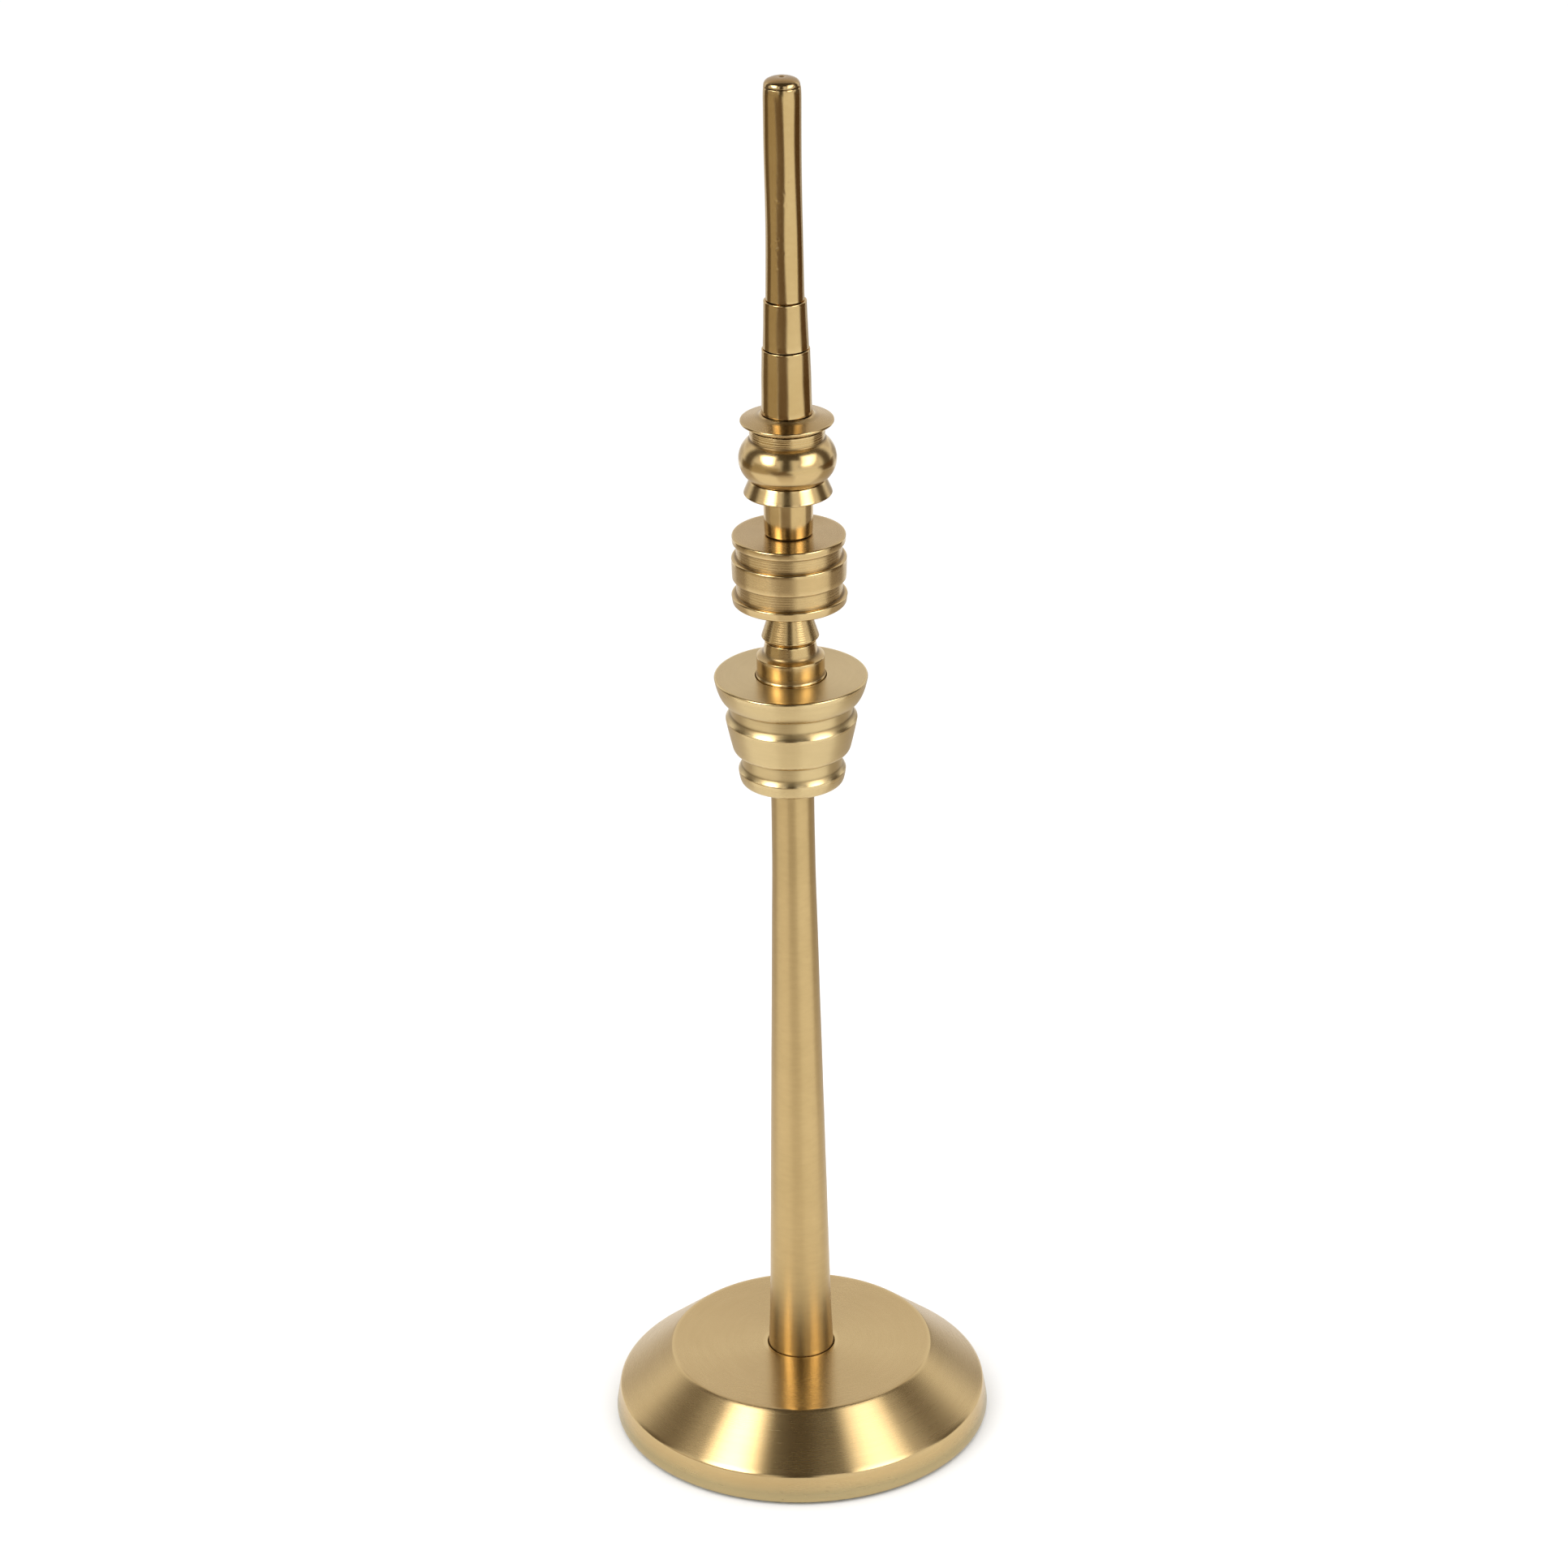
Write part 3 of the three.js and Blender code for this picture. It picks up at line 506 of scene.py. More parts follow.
def addTurned(piece):
    # The outline is fitted to the node's box, then carried round the axis: x = r cos a, y = r sin a.
    # Tool marks, hand waves and dents move each point back along the outline's normal.
    low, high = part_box(piece["node"])
    entries = list(piece["outline"]) + list(piece.get("bore", []))
    heights = [e[-1] for e in entries]
    scale = np.array([high.x / mm / piece["radius"], (high.z - low.z) / mm / (max(heights) - min(heights))])
    closed = piece.get("closed", True)
    sides = piece["sides"]
    points, normals, wearAndGlint, grimeAndShade, visible = thinnedOutline(piece, scale)
    angle = np.linspace(0, 2 * math.pi, sides, endpoint=False)
    depth = np.repeat(toolMarkDepth(piece, points, visible)[:, None], sides, 1)
    waves = handWaves(piece, points[:, 1], angle, piece["seed"])
    depth = depth + piece["waves"]["depth"] * waves * (visible[:, None] > 0.5)
    if "dents" in piece:
        depth = depth + dentDepth(piece, points, angle) * (visible[:, None] > 0.5)
    radius = points[:, :1] - normals[:, :1] * depth
    height = points[:, 1:] - normals[:, 1:] * depth
    if not closed:
        radius[[0, -1]] = 0
        height[[0, -1]] = height[[0, -1]].mean(1, keepdims=True)
    level = height + low.z / mm + 0 * angle
    rows = np.stack([radius * np.cos(angle), radius * np.sin(angle), level], -1) * mm
    mesh = surfaceMesh(piece["node"], rows, closed)
    pointAttribute(mesh, "edgeWearAndGlint", wearAndGlint, sides, closed)
    pointAttribute(mesh, "cornerGrimeAndShade", grimeAndShade, sides, closed)
    # scuffs plus painted shade below this height, darker towards the floor
    belowScuffsAndShade = piece.get("scuffsAndShadeBelow", 0) - points[:, 1]
    pointAttribute(mesh, "scuffAndShadeZone", np.clip(belowScuffsAndShade / drawing["scuffAndShadeFade"], 0, 1), sides, closed)
    addPiece(piece["node"] + "_turned", mesh, piece)
    print(f"{piece['node']}: {len(points)} rows, {len(mesh.polygons)} faces")


def dentDepth(piece, points, angle):
    # Small round dents at seeded places on the side: each is a bell of its own width and depth
    rng = np.random.default_rng(piece["seed"] + 50)
    dents = piece["dents"]
    depth = np.zeros((len(points), len(angle)))
    for count in range(dents["number"]):
        z = rng.uniform(dents["low"], dents["high"])
        a = rng.normal(math.radians(dents["facing"]), math.radians(dents["spread"]))
        size = dents["size"] * rng.uniform(0.5, 1.3)
        across = ((angle - a + math.pi) % (2 * math.pi) - math.pi)[None] * points[:, :1]
        away = across ** 2 + (points[:, 1:] - z) ** 2
        depth += dents["depth"] * rng.uniform(0.4, 1) * np.exp(-away / (2 * size ** 2))
    return depth


# Outlines are (radius, height) in mm above the piece's own lowest point, out along the bottom, up the side,
# in over the top and back down the bore. Edge is the width that corners are rounded over, waves the depth
# of the hand polishing's unevenness, and toolMarks and dents are zones of height. Dents face an angle in
# degrees.
baseCasting = {
    "node": "base_casting", "slot": "satin_brass", "finish": "brushed",
    "radius": 82.5, "edge": 0.32, "sides": 320, "seed": 11,
    "outline": [(79, 0), (82.15, 0), (82.5, 1.4), (80.84, 11.27), (80.71, 12.06, 80.09, 12.57),
                (57.92, 30.89), (57.3, 31.4, 56.5, 31.4), (14.7, 31.4)],
    "bore": [(14.7, 29.4), (4.5, 29.4), (4.5, 20.4), (18, 20.4), (18, 27.9), (56.04, 27.9), (77.4, 10.25)],
    "waves": {"depth": 0.03, "length": 60, "number": 6},
    # the rim below 8 mm is scuffed and carries painted shade near the floor
    "scuffsAndShadeBelow": 8,
}
lowerStem = {
    "node": "lower_stem", "slot": "satin_brass", "finish": "satin",
    "radius": 14.4, "edge": 0.22, "sides": 192, "seed": 12,
    "outline": [(4.5, 0), (14.4, 0), (14.4, 1.7), (13.57, 15.2, 13.3, 28.7), (9.5, 220.97),
                (9.1, 240.97, 9.1, 260.97), (9.1, 277.67)],
    "bore": [(4.5, 277.67)],
    "waves": {"depth": 0.09, "length": 55, "number": 8},
    "dents": {"number": 14, "low": 2, "high": 9, "facing": -66, "spread": 12, "size": 0.26, "depth": 0.06},
}
threeTierKnop = {
    "node": "three_tier_knop", "slot": "satin_brass", "finish": "pale",
    "radius": 32.1, "edge": 0.24, "sides": 256, "seed": 13,
    "outline": [(9.4, 0), (21, 0), (21.95, 0.2, 22.55, 5.4), (21.1, 7.5), (21.1, 13.4), (22.3, 13.4),
                (24.2, 13.9, 24.75, 15.7), (26.4, 22.4, 27.6, 28.6), (25.6, 31), (25.6, 36.4), (26.9, 36.4),
                (30.3, 37.3, 32.1, 46.9), (31.5, 47.5), (14.9, 47.5)],
    "bore": [(14.9, 45.5), (4.5, 45.5), (4.5, 2), (9.4, 2)],
    "waves": {"depth": 0.04, "length": 40, "number": 5},
    "toolMarks": [{"low": 7.8, "high": 13.2, "pitch": 1.1, "depth": 0.03},
                  {"low": 31.3, "high": 36.2, "pitch": 1.1, "depth": 0.03}],
}
neckRing = {
    "node": "neck_ring", "slot": "polished_brass", "finish": "buffed",
    "radius": 14.6, "edge": 0.20, "sides": 192, "seed": 14,
    "outline": [(4.5, 0), (14.6, 0), (14.6, 2.2), (14.15, 2.7), (14.15, 10.7), (12.1, 11.5),
                (11.25, 11.9, 11.2, 12.9), (10.55, 17.3), (8.55, 17.3)],
    "bore": [(8.55, 19.3), (4.5, 19.3)],
    "waves": {"depth": 0.04, "length": 30, "number": 5},
    "toolMarks": [{"low": 12.4, "high": 17.0, "pitch": 0.8, "depth": 0.012}],
}
neckCone = {
    "node": "neck_cone", "slot": "polished_brass", "finish": "buffed",
    "radius": 12.05, "edge": 0.20, "sides": 160, "seed": 15,
    "outline": [(8.85, 0), (10.55, 0), (12.05, 1.7), (7.2, 16.9), (7.2, 18.6)],
    "bore": [(4.5, 18.6), (4.5, 2.3), (8.85, 2.3)],
    "waves": {"depth": 0.04, "length": 30, "number": 5},
    "toolMarks": [{"low": 1.9, "high": 12.0, "pitch": 0.95, "depth": 0.03}],
}
groovedDrum = {
    "node": "grooved_drum", "slot": "satin_brass", "finish": "brushed",
    "radius": 24, "edge": 0.22, "sides": 224, "seed": 16,
    "outline": [(7.5, 0), (23.05, 0), (23.55, 0.5), (24, 3.6), (23.5, 4.1), (22, 4.1), (22, 10.7),
                (23.1, 10.7), (23.6, 11.2), (23.8, 19.9), (23.3, 20.4), (21.9, 20.4), (21.9, 26.4),
                (22.9, 26.4), (23.4, 26.9), (23.5, 29.5), (23, 30), (8.7, 30)],
    "bore": [(8.7, 27.7), (4.5, 27.7), (4.5, 2), (7.5, 2)],
    "waves": {"depth": 0.05, "length": 30, "number": 5},
    "toolMarks": [{"low": 4.4, "high": 10.5, "pitch": 1.15, "depth": 0.05},
                  {"low": 20.7, "high": 26.2, "pitch": 1.15, "depth": 0.05}],
}
spacerTube = {
    "node": "spacer_tube", "slot": "polished_brass", "finish": "polished",
    "radius": 10.4, "edge": 0.18, "sides": 160, "seed": 17,
    "outline": [(4.5, 0), (8.4, 0), (8.4, 2.3), (9.2, 2.3), (10, 2.3, 10, 3.1), (10.4, 23.5)],
    "bore": [(4.5, 23.5)],
    "waves": {"depth": 0.06, "length": 22, "number": 6},
}
bellFoot = {
    "node": "bell_foot", "slot": "polished_brass", "finish": "buffed",
    "radius": 18.3, "edge": 0.20, "sides": 192, "seed": 18,
    "outline": [(16.7, 0), (17.9, 0), (18.3, 0.4), (15.75, 6.3), (11.3, 6.3)],
    "bore": [(11.3, 5.3), (4.5, 5.3), (4.5, 4), (10.7, 4), (10.7, 2), (13.7, 2)],
    "waves": {"depth": 0.04, "length": 20, "number": 5},
    "toolMarks": [{"low": 0.7, "high": 6.0, "pitch": 0.9, "depth": 0.015}],
}
bulbKnop = {
    "node": "bulb_knop", "slot": "polished_brass", "finish": "buffed",
    "radius": 20.15, "edge": 0.18, "sides": 224, "seed": 19,
    "outline": [(4.5, 0), (11, 0), (11, 0.7), (15.85, 0.7)]
        + arcEntries((9.65, 9.174), 10.5, -53.81, 56.47)[1:]
        + [(15.6, 22.627), (10.8, 22.627)],
    "bore": [(10.8, 20.327), (4.5, 20.327)],
    "waves": {"depth": 0.08, "length": 26, "number": 6},
    "toolMarks": [{"low": 18.2, "high": 22.4, "pitch": 1.0, "depth": 0.06}],
    "longest": 0.8,
}
dripFlange = {
    "node": "drip_flange", "slot": "satin_brass", "finish": "brushed",
    "radius": 19.25, "edge": 0.15, "sides": 192, "seed": 20,
    "outline": [(6.3, 0), (10.5, 0), (10.5, 2), (15.6, 2), (18.65, 3.9), (19.25, 3.9, 19.25, 4.5),
                (19.25, 5.1, 18.65, 5.1), (13.2, 6.45), (11.7, 6.8, 11, 7.6), (6.3, 7.6)],
    "waves": {"depth": 0.04, "length": 12, "number": 5},
    "toolMarks": [{"low": 5.15, "high": 7.3, "pitch": 1.1, "depth": 0.012}],
}
lowerSleeve = {
    "node": "lower_sleeve", "slot": "polished_brass", "finish": "polished",
    "radius": 10.5, "edge": 0.12, "sides": 160, "seed": 21,
    "outline": [(6.3, 0), (10.5, 0), (10.2, 13.5), (9.93, 26.2), (9.95, 26.9), (9.95, 27.4, 9.45, 27.4),
                (6.3, 27.4)],
    "waves": {"depth": 0.16, "length": 40, "number": 7, "ripple": 0.1},
}
middleSleeve = {
    "node": "middle_sleeve", "slot": "polished_brass", "finish": "polished",
    "radius": 9.45, "edge": 0.12, "sides": 160, "seed": 22,
    "outline": [(6.3, 0), (9.45, 0), (9.1, 10), (8.83, 18.8), (8.85, 19.5), (8.85, 20, 8.35, 20), (6.3, 20)],
    "waves": {"depth": 0.16, "length": 36, "number": 7, "ripple": 0.1},
    "dents": {"number": 12, "low": 1, "high": 12, "facing": -105, "spread": 12, "size": 0.22, "depth": 0.05},
}
upperSpire = {
    "node": "upper_spire", "slot": "polished_brass", "finish": "polished",
    "radius": 8, "edge": 0.12, "sides": 192, "seed": 23,
    "outline": [(6.3, 0), (8, 0), (7.6, 24, 7.6, 47), (7.62, 66, 7.8, 82.7), (7.8, 86.8, 7.5, 87.5),
                (6.3, 87.5)],
    "waves": {"depth": 0.25, "length": 62, "number": 9, "lobes": 5, "ripple": 0.1},
    "dents": {"number": 60, "low": 14, "high": 56, "facing": -112, "spread": 12, "size": 0.26, "depth": 0.09},
    "longest": 0.45,
}
tipCap = {
    "node": "tip_cap", "slot": "polished_brass", "finish": "tarnished",
    "radius": 7.4, "edge": 0.14, "sides": 160, "seed": 24,
    "closed": False,
    "outline": [(0, 0), (6, 0), (6, 6), (7.4, 6), (7.38, 7.5, 6.2, 8.3), (4.4, 9.36, 1.5, 9.4),
                (1.2, 9.4, 1.0, 9.2), (0.7, 9.02, 0, 9.0)],
    "waves": {"depth": 0.05, "length": 9, "number": 5},
}
turnedPieces = [baseCasting, lowerStem, threeTierKnop, neckRing, neckCone, groovedDrum, spacerTube, bellFoot,
                bulbKnop, dripFlange, lowerSleeve, middleSleeve, upperSpire, tipCap]
for turnedPiece in turnedPieces:
    addTurned(turnedPiece)
print("turned brass done:", len(turnedPieces), "pieces")

# The felt under the base, in mm: fuzz is the height of its lumps, ragged how far its edge wanders in
feltPad = {
    "node": "felt_pad", "slot": "baize_felt", "finish": "felt", "sides": 360, "rings": 90, "seed": 31,
    "edgeRound": 0.4, "edgePoints": 11, "fuzz": 0.05, "ragged": 0.35, "raggedWidth": 2.0,
}


def addFelt(piece):
    # A disc with a rounded, slightly ragged edge. Both faces carry seeded lumps, as pressed wool has.
    low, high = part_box(piece["node"])
    radius, thick = high.x / mm, (high.z - low.z) / mm
    sides, rings, curve = piece["sides"], piece["rings"], piece["edgeRound"]
    across = np.linspace(0, radius - curve, rings)
    corner = np.radians(np.linspace(-90, 90, piece["edgePoints"]))[1:-1]
    edge = radius - curve + curve * np.cos(corner)
    rim = thick / 2 + (thick / 2) * np.sin(corner)
    r = np.concatenate([across, edge, across[::-1]])
    z = np.concatenate([np.zeros(rings), rim, np.full(rings, thick)])
    angle = np.linspace(0, 2 * math.pi, sides, endpoint=False)
    rng = np.random.default_rng(piece["seed"])
    lumps = rng.uniform(0, 1, (len(r), sides))
    ragged = rng.uniform(0, 1, sides)
    ragged = (ragged + np.roll(ragged, 1) + np.roll(ragged, -1)) / 3
    outer = np.clip((r - radius + piece["raggedWidth"]) / piece["raggedWidth"], 0, 1)[:, None]
    inward = piece["ragged"] * ragged[None] * outer
    up = np.where(z[:, None] < thick / 2, lumps, -lumps) * piece["fuzz"]
    height = z[:, None] + up
    height[[0, -1]] = height[[0, -1]].mean(1, keepdims=True)
    reach = np.maximum(r[:, None] - inward, 0)
    reach[[0, -1]] = 0
    rows = np.stack([reach * np.cos(angle), reach * np.sin(angle), height + low.z / mm], -1) * mm
    mesh = surfaceMesh(piece["node"], rows, False)
    felt = addPiece("felt_pad_pressed", mesh, piece)
    print("felt made:", len(mesh.polygons), "faces")


addFelt(feltPad)

# The metal inside keeps its CAD shape and gets its own finish
for node, finish in (("threaded_core", "satin"), ("ballast_disc", "iron"), ("base_washer", "zinc"),
                     ("spring_washer", "zinc"), ("base_nut", "zinc"), ("tie_rod", "zinc")):
    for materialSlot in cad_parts[node].material_slots:
        materialSlot.material = finishes[finish]
print("inner metal finished")

# The room, in metres
studio = {
    "worldLight": 1.06,
    "floorRing": (0.0792, 9.0), "floorSteps": 97,
    "floorColours": ((0.95, 0.95, 0.95, 1), (0.965, 0.965, 0.96, 1)), "floorRoughness": 0.9,
    "aim": 0.28, "boxDistance": 1.22, "boxColour": (1, 0.985, 0.96, 1), "boxSteps": 25, "boxFade": 8,
    "sheetSteps": 49, "ringSteps": 25, "softEdge": 10,  # degrees over which the side of a sheet fades
    "patchGap": 0.2,  # mm between floor patches
}
# Corners of each lit face are azimuth and elevation from the aim point: low inner, low outer, high outer,
# high inner. Lamp is the radiance of the lamp behind it.
softboxes = {
    "softboxLeft": {"corners": [(-27, 25), (-64, 21), (-92, 46), (-32, 63)], "radiance": 10.0, "falloff": 1.5,
                    "lampWidth": 0.72, "lampHeight": 1.25, "lamp": 1.5},
    "softboxRight": {"corners": [(25, 17), (64, 15), (97, 46), (40, 63)], "radiance": 5.5, "falloff": 1.0,
                     "lampWidth": 0.72, "lampHeight": 1.25, "lamp": 0.9},
}
# Dark flags and pale reflectors that only reflections see, each a patch of a standing cylinder: its radius in
# metres, the radiance of red, green and blue, and for its foot and its head the azimuths it runs between, in
# degrees from the camera's side towards +X, and its height
studioFlags = [
    {"name": "flagRight", "radius": 1.35, "glow": (.14, .115, .09),
     "foot": (84, 121, 0.30), "head": (84, 121, 1.95)},
    {"name": "flagLeft", "radius": 1.35, "glow": (.15, .125, .10),
     "foot": (-121, -84, 0.30), "head": (-121, -84, 1.95)},
    {"name": "flagCentre", "radius": 1.45, "glow": (.095, .08, .06),
     "foot": (-20, 14, 0.30), "head": (-20, 14, 2.0)},
    {"name": "lowFrontLeft", "radius": 1.3, "glow": (.50, .43, .31),
     "foot": (-90, -14, 0.28), "head": (-90, -14, 0.66)},
    {"name": "lowBackRight", "radius": 1.3, "glow": (.52, .50, .48),
     "foot": (134, 168, 0.02), "head": (126, 160, 0.55)},
    {"name": "lowBackLeft", "radius": 1.3, "glow": (.74, .72, .70),
     "foot": (-168, -134, 0.02), "head": (-160, -126, 0.55)},
    {"name": "backPanel", "radius": 0.8, "glow": (.80, .77, .76),
     "foot": (128, 232, 0.63), "head": (128, 232, 1.3)},
]
# Parts of the floor that reflections see darker or brighter than it is, each part of a ring: azimuths in
# degrees at its near and far radius in metres, the radius by which it shows in full, and the radius that it
# goes on to past its far one. Later ones lie over earlier ones.
floorPatches = [
    {"name": "floorRight", "glow": (.58, .52, .44),
     "near": (84, 178, 0.09), "far": (84, 178, 0.92), "full": 0.50, "end": 0.92},
    {"name": "floorLeft", "glow": (.66, .60, .53),
     "near": (-178, -94, 0.10), "far": (-178, -94, 0.98), "full": 0.56, "end": 0.98},
    {"name": "farRightFront", "glow": (1.17, 1.19, 1.16),
     "near": (8, 86, 0.99), "far": (-6, 82, 2.6), "full": 1.05, "end": 5.0},
    {"name": "farLeftFront", "glow": (.56, .48, .34),
     "near": (-106, -36, 0.86), "far": (-98, -38, 2.6), "full": 1.02, "end": 5.0},
    {"name": "farLeft", "glow": (.20, .145, .08),
     "near": (-138, -92, 0.95), "far": (-132, -84, 2.6), "full": 1.00, "end": 5.0},
    {"name": "farRight", "glow": (.14, .085, .040),
     "near": (84, 138, 0.90), "far": (69, 134, 2.6), "full": 0.95, "end": 5.0},
    {"name": "farFront", "glow": (.21, .15, .10),
     "near": (-40, 18, 0.82), "far": (-56, 5, 2.6), "full": 0.88, "end": 5.0},
    {"name": "floorFront", "glow": (.60, .53, .43),
     "near": (-32, 22, 0.03), "far": (-32, 22, 0.84), "full": 1.05, "end": 0.84},
]
# Level sheets overhead, from one y to another
overhead = {"halfWidth": 1.7, "height": 2.0}
overheadFlags = [
    {"name": "overheadFront", "near": -1.7, "far": 0.40, "glow": (.095, .08, .06)},
    {"name": "overheadBack", "near": 0.40, "far": 1.05, "glow": (.50, .46, .42)},
    {"name": "overheadFar", "near": 1.05, "far": 1.9, "glow": (.74, .65, .55)},
]


def glossyOnly(thing):
    thing.visible_camera = thing.visible_diffuse = thing.visible_shadow = False
    thing.visible_transmission = thing.visible_volume_scatter = False


def softboxMaterial(name, radiance):
    # brightest in its middle, from the face's own brightness attribute
    material, tree = emptyTree(name)
    share = addNode(tree, "ShaderNodeAttribute", attribute_name="brightness").outputs["Fac"]
    strength = maths(tree, "MULTIPLY", share, radiance)
    light = addNode(tree, "ShaderNodeEmission", {"Color": studio["boxColour"], "Strength": strength})
    addNode(tree, "ShaderNodeOutputMaterial", {"Surface": light.outputs[0]})
    return material


def flagMaterial(name, glow):
    # fades out at its borders, from the sheet's own cover attribute
    material, tree = emptyTree(name)
    light = addNode(tree, "ShaderNodeEmission", {"Color": (*glow, 1), "Strength": 1.0}).outputs[0]
    clear = addNode(tree, "ShaderNodeBsdfTransparent").outputs[0]
    cover = addNode(tree, "ShaderNodeAttribute", attribute_name="cover").outputs["Fac"]
    mixed = addNode(tree, "ShaderNodeMixShader", {0: cover, 1: clear, 2: light}).outputs[0]
    addNode(tree, "ShaderNodeOutputMaterial", {"Surface": mixed})
    return material


def sheetAttribute(thing, name, values):
    attribute = thing.data.attributes.new(name, "FLOAT", "POINT")
    attribute.data.foreach_set("value", values.ravel().astype(np.float32))


def addSheetMesh(name, corners, material):
    # corners is a grid of points, rows by columns by 3
    rows, columns = corners.shape[:2]
    i, j = np.meshgrid(np.arange(rows - 1), np.arange(columns - 1), indexing="ij")
    at = i * columns + j
    faces = np.stack([at, at + 1, at + columns + 1, at + columns], -1).reshape(-1, 4)
    mesh = bpy.data.meshes.new(name)
    mesh.from_pydata(corners.reshape(-1, 3).tolist(), [], faces.tolist())
    mesh.materials.append(material)
    thing = bpy.data.objects.new(name, mesh)
    bpy.context.scene.collection.objects.link(thing)
    return thing


def addFlag(flag):
    # a patch of a standing cylinder, straight from its foot to its head, fading out at its two sides
    rows, covers = [], []
    for fromAngle, toAngle, height in (flag["foot"], flag["head"]):
        degrees = np.linspace(fromAngle, toAngle, studio["sheetSteps"])
        azimuth = np.radians(degrees)
        x, y = flag["radius"] * np.sin(azimuth), -flag["radius"] * np.cos(azimuth)
        rows.append(np.stack([x, y, np.full_like(x, height)], -1))
        inside = np.minimum(degrees - fromAngle, toAngle - degrees)
        covers.append(np.clip(inside / studio["softEdge"], 0, 1))
    sheet = addSheetMesh(flag["name"], np.array(rows), flagMaterial(flag["name"], flag["glow"]))
    sheetAttribute(sheet, "cover", np.array(covers))
    glossyOnly(sheet)


def addFloorPatch(patch, height):
    # part of a ring on the floor, fading in from its near radius and at both its sides
    nearFrom, nearTo, nearRadius = patch["near"]
    farFrom, farTo, farRadius = patch["far"]
    radii = nearRadius + (patch["end"] - nearRadius) * np.linspace(0, 1, studio["ringSteps"])[:, None]
    turn = np.clip((radii - nearRadius) / (farRadius - nearRadius), 0, 1)
    fromAngle, toAngle = nearFrom + (farFrom - nearFrom) * turn, nearTo + (farTo - nearTo) * turn
    degrees = fromAngle + (toAngle - fromAngle) * np.linspace(0, 1, studio["sheetSteps"])
    azimuth = np.radians(degrees)
    rows = np.stack([radii * np.sin(azimuth), -radii * np.cos(azimuth), np.full_like(azimuth, height)], -1)
    edge = np.clip(np.minimum(degrees - fromAngle, toAngle - degrees) / studio["softEdge"], 0, 1)
    growth = np.clip((radii - nearRadius) / (patch["full"] - nearRadius), 0, 1)
    sheet = addSheetMesh(patch["name"], rows, flagMaterial(patch["name"], patch["glow"]))
    sheetAttribute(sheet, "cover", growth * edge)
    glossyOnly(sheet)


def outward(azimuth, elevation):
    # unit directions from the aim point, angles in degrees, azimuth from the camera's side towards +X
    a, e = np.radians(azimuth), np.radians(elevation)
    return np.stack([np.sin(a) * np.cos(e), -np.cos(a) * np.cos(e), np.sin(e)], -1)


def addSoftbox(name, box):
    # A face that reflections see, its corners blended over a grid of angles and its brightness falling from
    # the middle as sin(pi u) to a power, and a lamp behind its middle that lights the floor. The lamp's power
    # follows from its area and radiance.
    lowInner, lowOuter, highOuter, highInner = np.array(box["corners"], float)
    share = np.linspace(0, 1, studio["boxSteps"])
    u, v = share[None, :, None], share[:, None, None]
    angles = (1 - v) * ((1 - u) * lowInner + u * lowOuter) + v * ((1 - u) * highInner + u * highOuter)
    aim = np.array([0, 0, studio["aim"]])
    spots = aim + studio["boxDistance"] * outward(angles[..., 0], angles[..., 1])
    face = addSheetMesh(name + "Face", spots, softboxMaterial(name + "Face", box["radiance"]))
    ends = np.clip(np.minimum(v, 1 - v) * studio["boxFade"], 0, 1)
    sheetAttribute(face, "brightness", np.sin(math.pi * u) ** box["falloff"] * ends)
    glossyOnly(face)
    away = outward(*np.array(box["corners"], float).mean(0))
    across = np.array([-away[1], away[0], 0]) / math.hypot(away[0], away[1])
    upward = np.cross(away, across)
    centre = aim + studio["boxDistance"] * away
    lamp = bpy.data.lights.new(name, "AREA")
    lamp.shape = "RECTANGLE"
    lamp.size, lamp.size_y = box["lampWidth"], box["lampHeight"]
    lamp.energy = box["lamp"] * math.pi * box["lampWidth"] * box["lampHeight"]
    thing = bpy.data.objects.new(name, lamp)
    bpy.context.scene.collection.objects.link(thing)
    # columns are the lamp's own axes: level, up its tilted face, and back, as it shines along -z
    columns = np.stack([across, upward, away, centre], 1)
    thing.matrix_world = Matrix(np.vstack([columns, [0, 0, 0, 1]]).tolist())
    thing.visible_camera = thing.visible_glossy = False


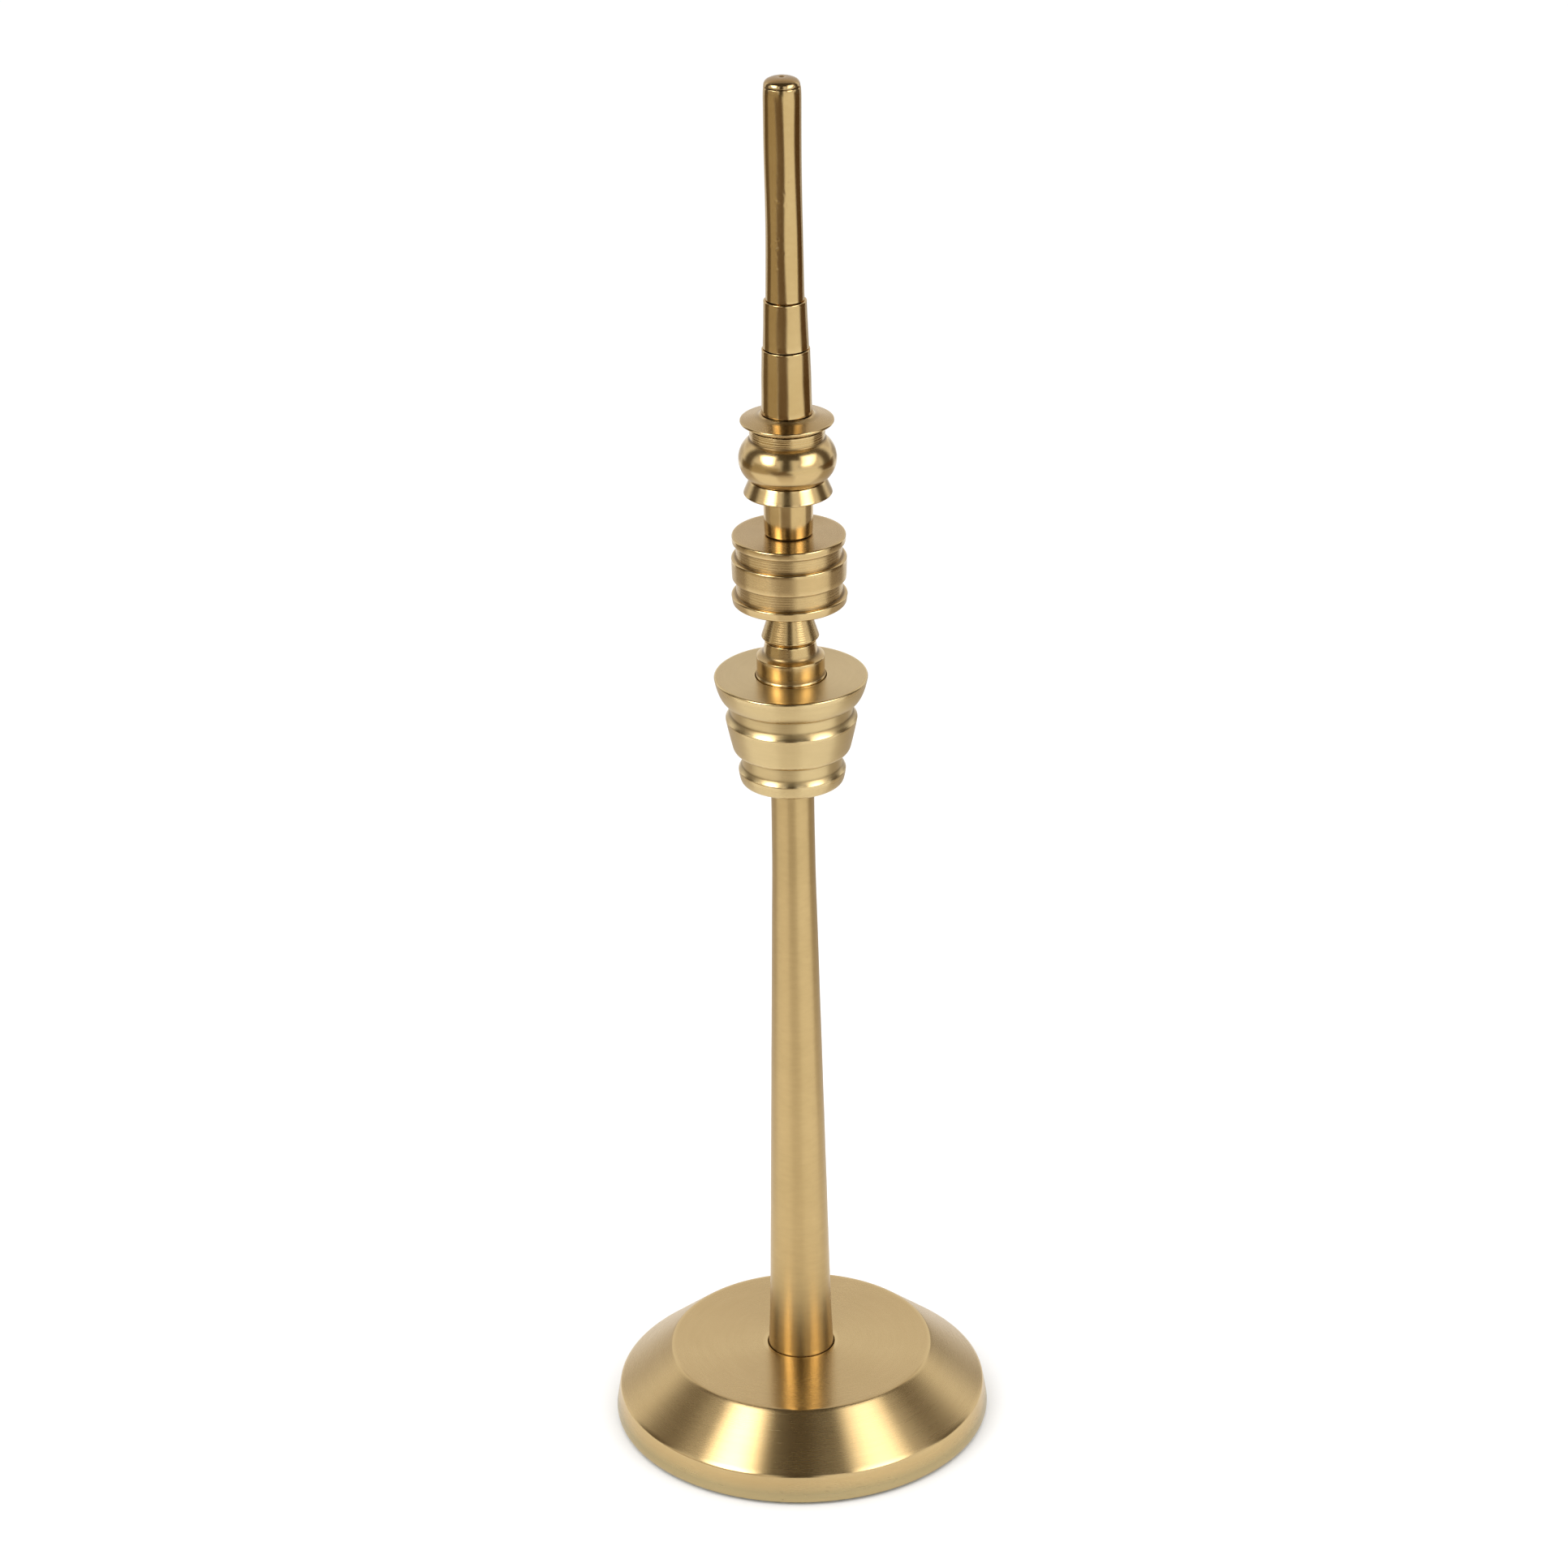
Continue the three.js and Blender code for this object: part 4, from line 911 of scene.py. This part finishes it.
def addFloor():
    # A wide level ring: the small round opening in its middle hides under the felt and lets light reach it
    # from below. The floor can't be seen from below.
    turn = np.linspace(2 * math.pi, 0, studio["floorSteps"])
    x, y = np.outer(studio["floorRing"], np.cos(turn)), np.outer(studio["floorRing"], np.sin(turn))
    material, tree, shader, output = newMaterial("paleFloor")
    grain = plainNoise(tree, 30.0, 3.0)
    colour = blendColour(tree, spread(tree, grain, 0.3, 0.7), *studio["floorColours"])
    tree.links.new(colour, shader.inputs["Base Color"])
    shader.inputs["Roughness"].default_value = studio["floorRoughness"]
    shader.inputs["Specular IOR Level"].default_value = 0.0
    below = addNode(tree, "ShaderNodeNewGeometry").outputs["Backfacing"]
    clear = addNode(tree, "ShaderNodeBsdfTransparent").outputs[0]
    mixed = addNode(tree, "ShaderNodeMixShader", {0: below, 1: shader.outputs[0], 2: clear}).outputs[0]
    tree.links.new(mixed, output.inputs["Surface"])
    addSheetMesh("paleFloor", np.stack([x, y, np.zeros_like(x)], -1), material)


def addStudio():
    world = bpy.data.worlds.new("studio")
    bpy.context.scene.world = world
    world.use_nodes = True
    world.node_tree.nodes["Background"].inputs["Color"].default_value = (1, 1, 1, 1)
    world.node_tree.nodes["Background"].inputs["Strength"].default_value = studio["worldLight"]
    addFloor()
    for flag in studioFlags:
        addFlag(flag)
    for level, patch in enumerate(floorPatches):
        addFloorPatch(patch, (level + 1) * studio["patchGap"] * mm)
    wide, height = overhead["halfWidth"], overhead["height"]
    for flag in overheadFlags:
        corners = [[(-wide, y, height), (wide, y, height)] for y in (flag["near"], flag["far"])]
        sheet = addSheetMesh(flag["name"], np.array(corners), flagMaterial(flag["name"], flag["glow"]))
        sheetAttribute(sheet, "cover", np.ones(4))
        glossyOnly(sheet)
    for name, box in softboxes.items():
        addSoftbox(name, box)


addStudio()
print("studio ready")

# lens and sensor in mm, pitch and roll in degrees, the rest in metres
viewpoint = {"lens": 105.0, "sensor": 36.0, "pitch": 24.72, "roll": -0.94,
             "distance": 1.741, "height": 1.1058, "side": -0.0036}


def addCamera():
    data = bpy.data.cameras.new("camera")
    data.lens, data.sensor_width = viewpoint["lens"], viewpoint["sensor"]
    data.clip_start, data.clip_end = 0.01, 100
    camera = bpy.data.objects.new("camera", data)
    bpy.context.scene.collection.objects.link(camera)
    camera.location = (viewpoint["side"], -viewpoint["distance"], viewpoint["height"])
    pitch, roll = math.radians(viewpoint["pitch"]), math.radians(viewpoint["roll"])
    turn = Matrix.Rotation(math.pi / 2 - pitch, 4, "X") @ Matrix.Rotation(roll, 4, "Z")
    camera.rotation_euler = turn.to_euler()
    bpy.context.scene.camera = camera


addCamera()
bpy.context.scene.view_settings.view_transform = "Standard"
bpy.context.scene.view_settings.look = "None"

bpy.context.view_layer.update()
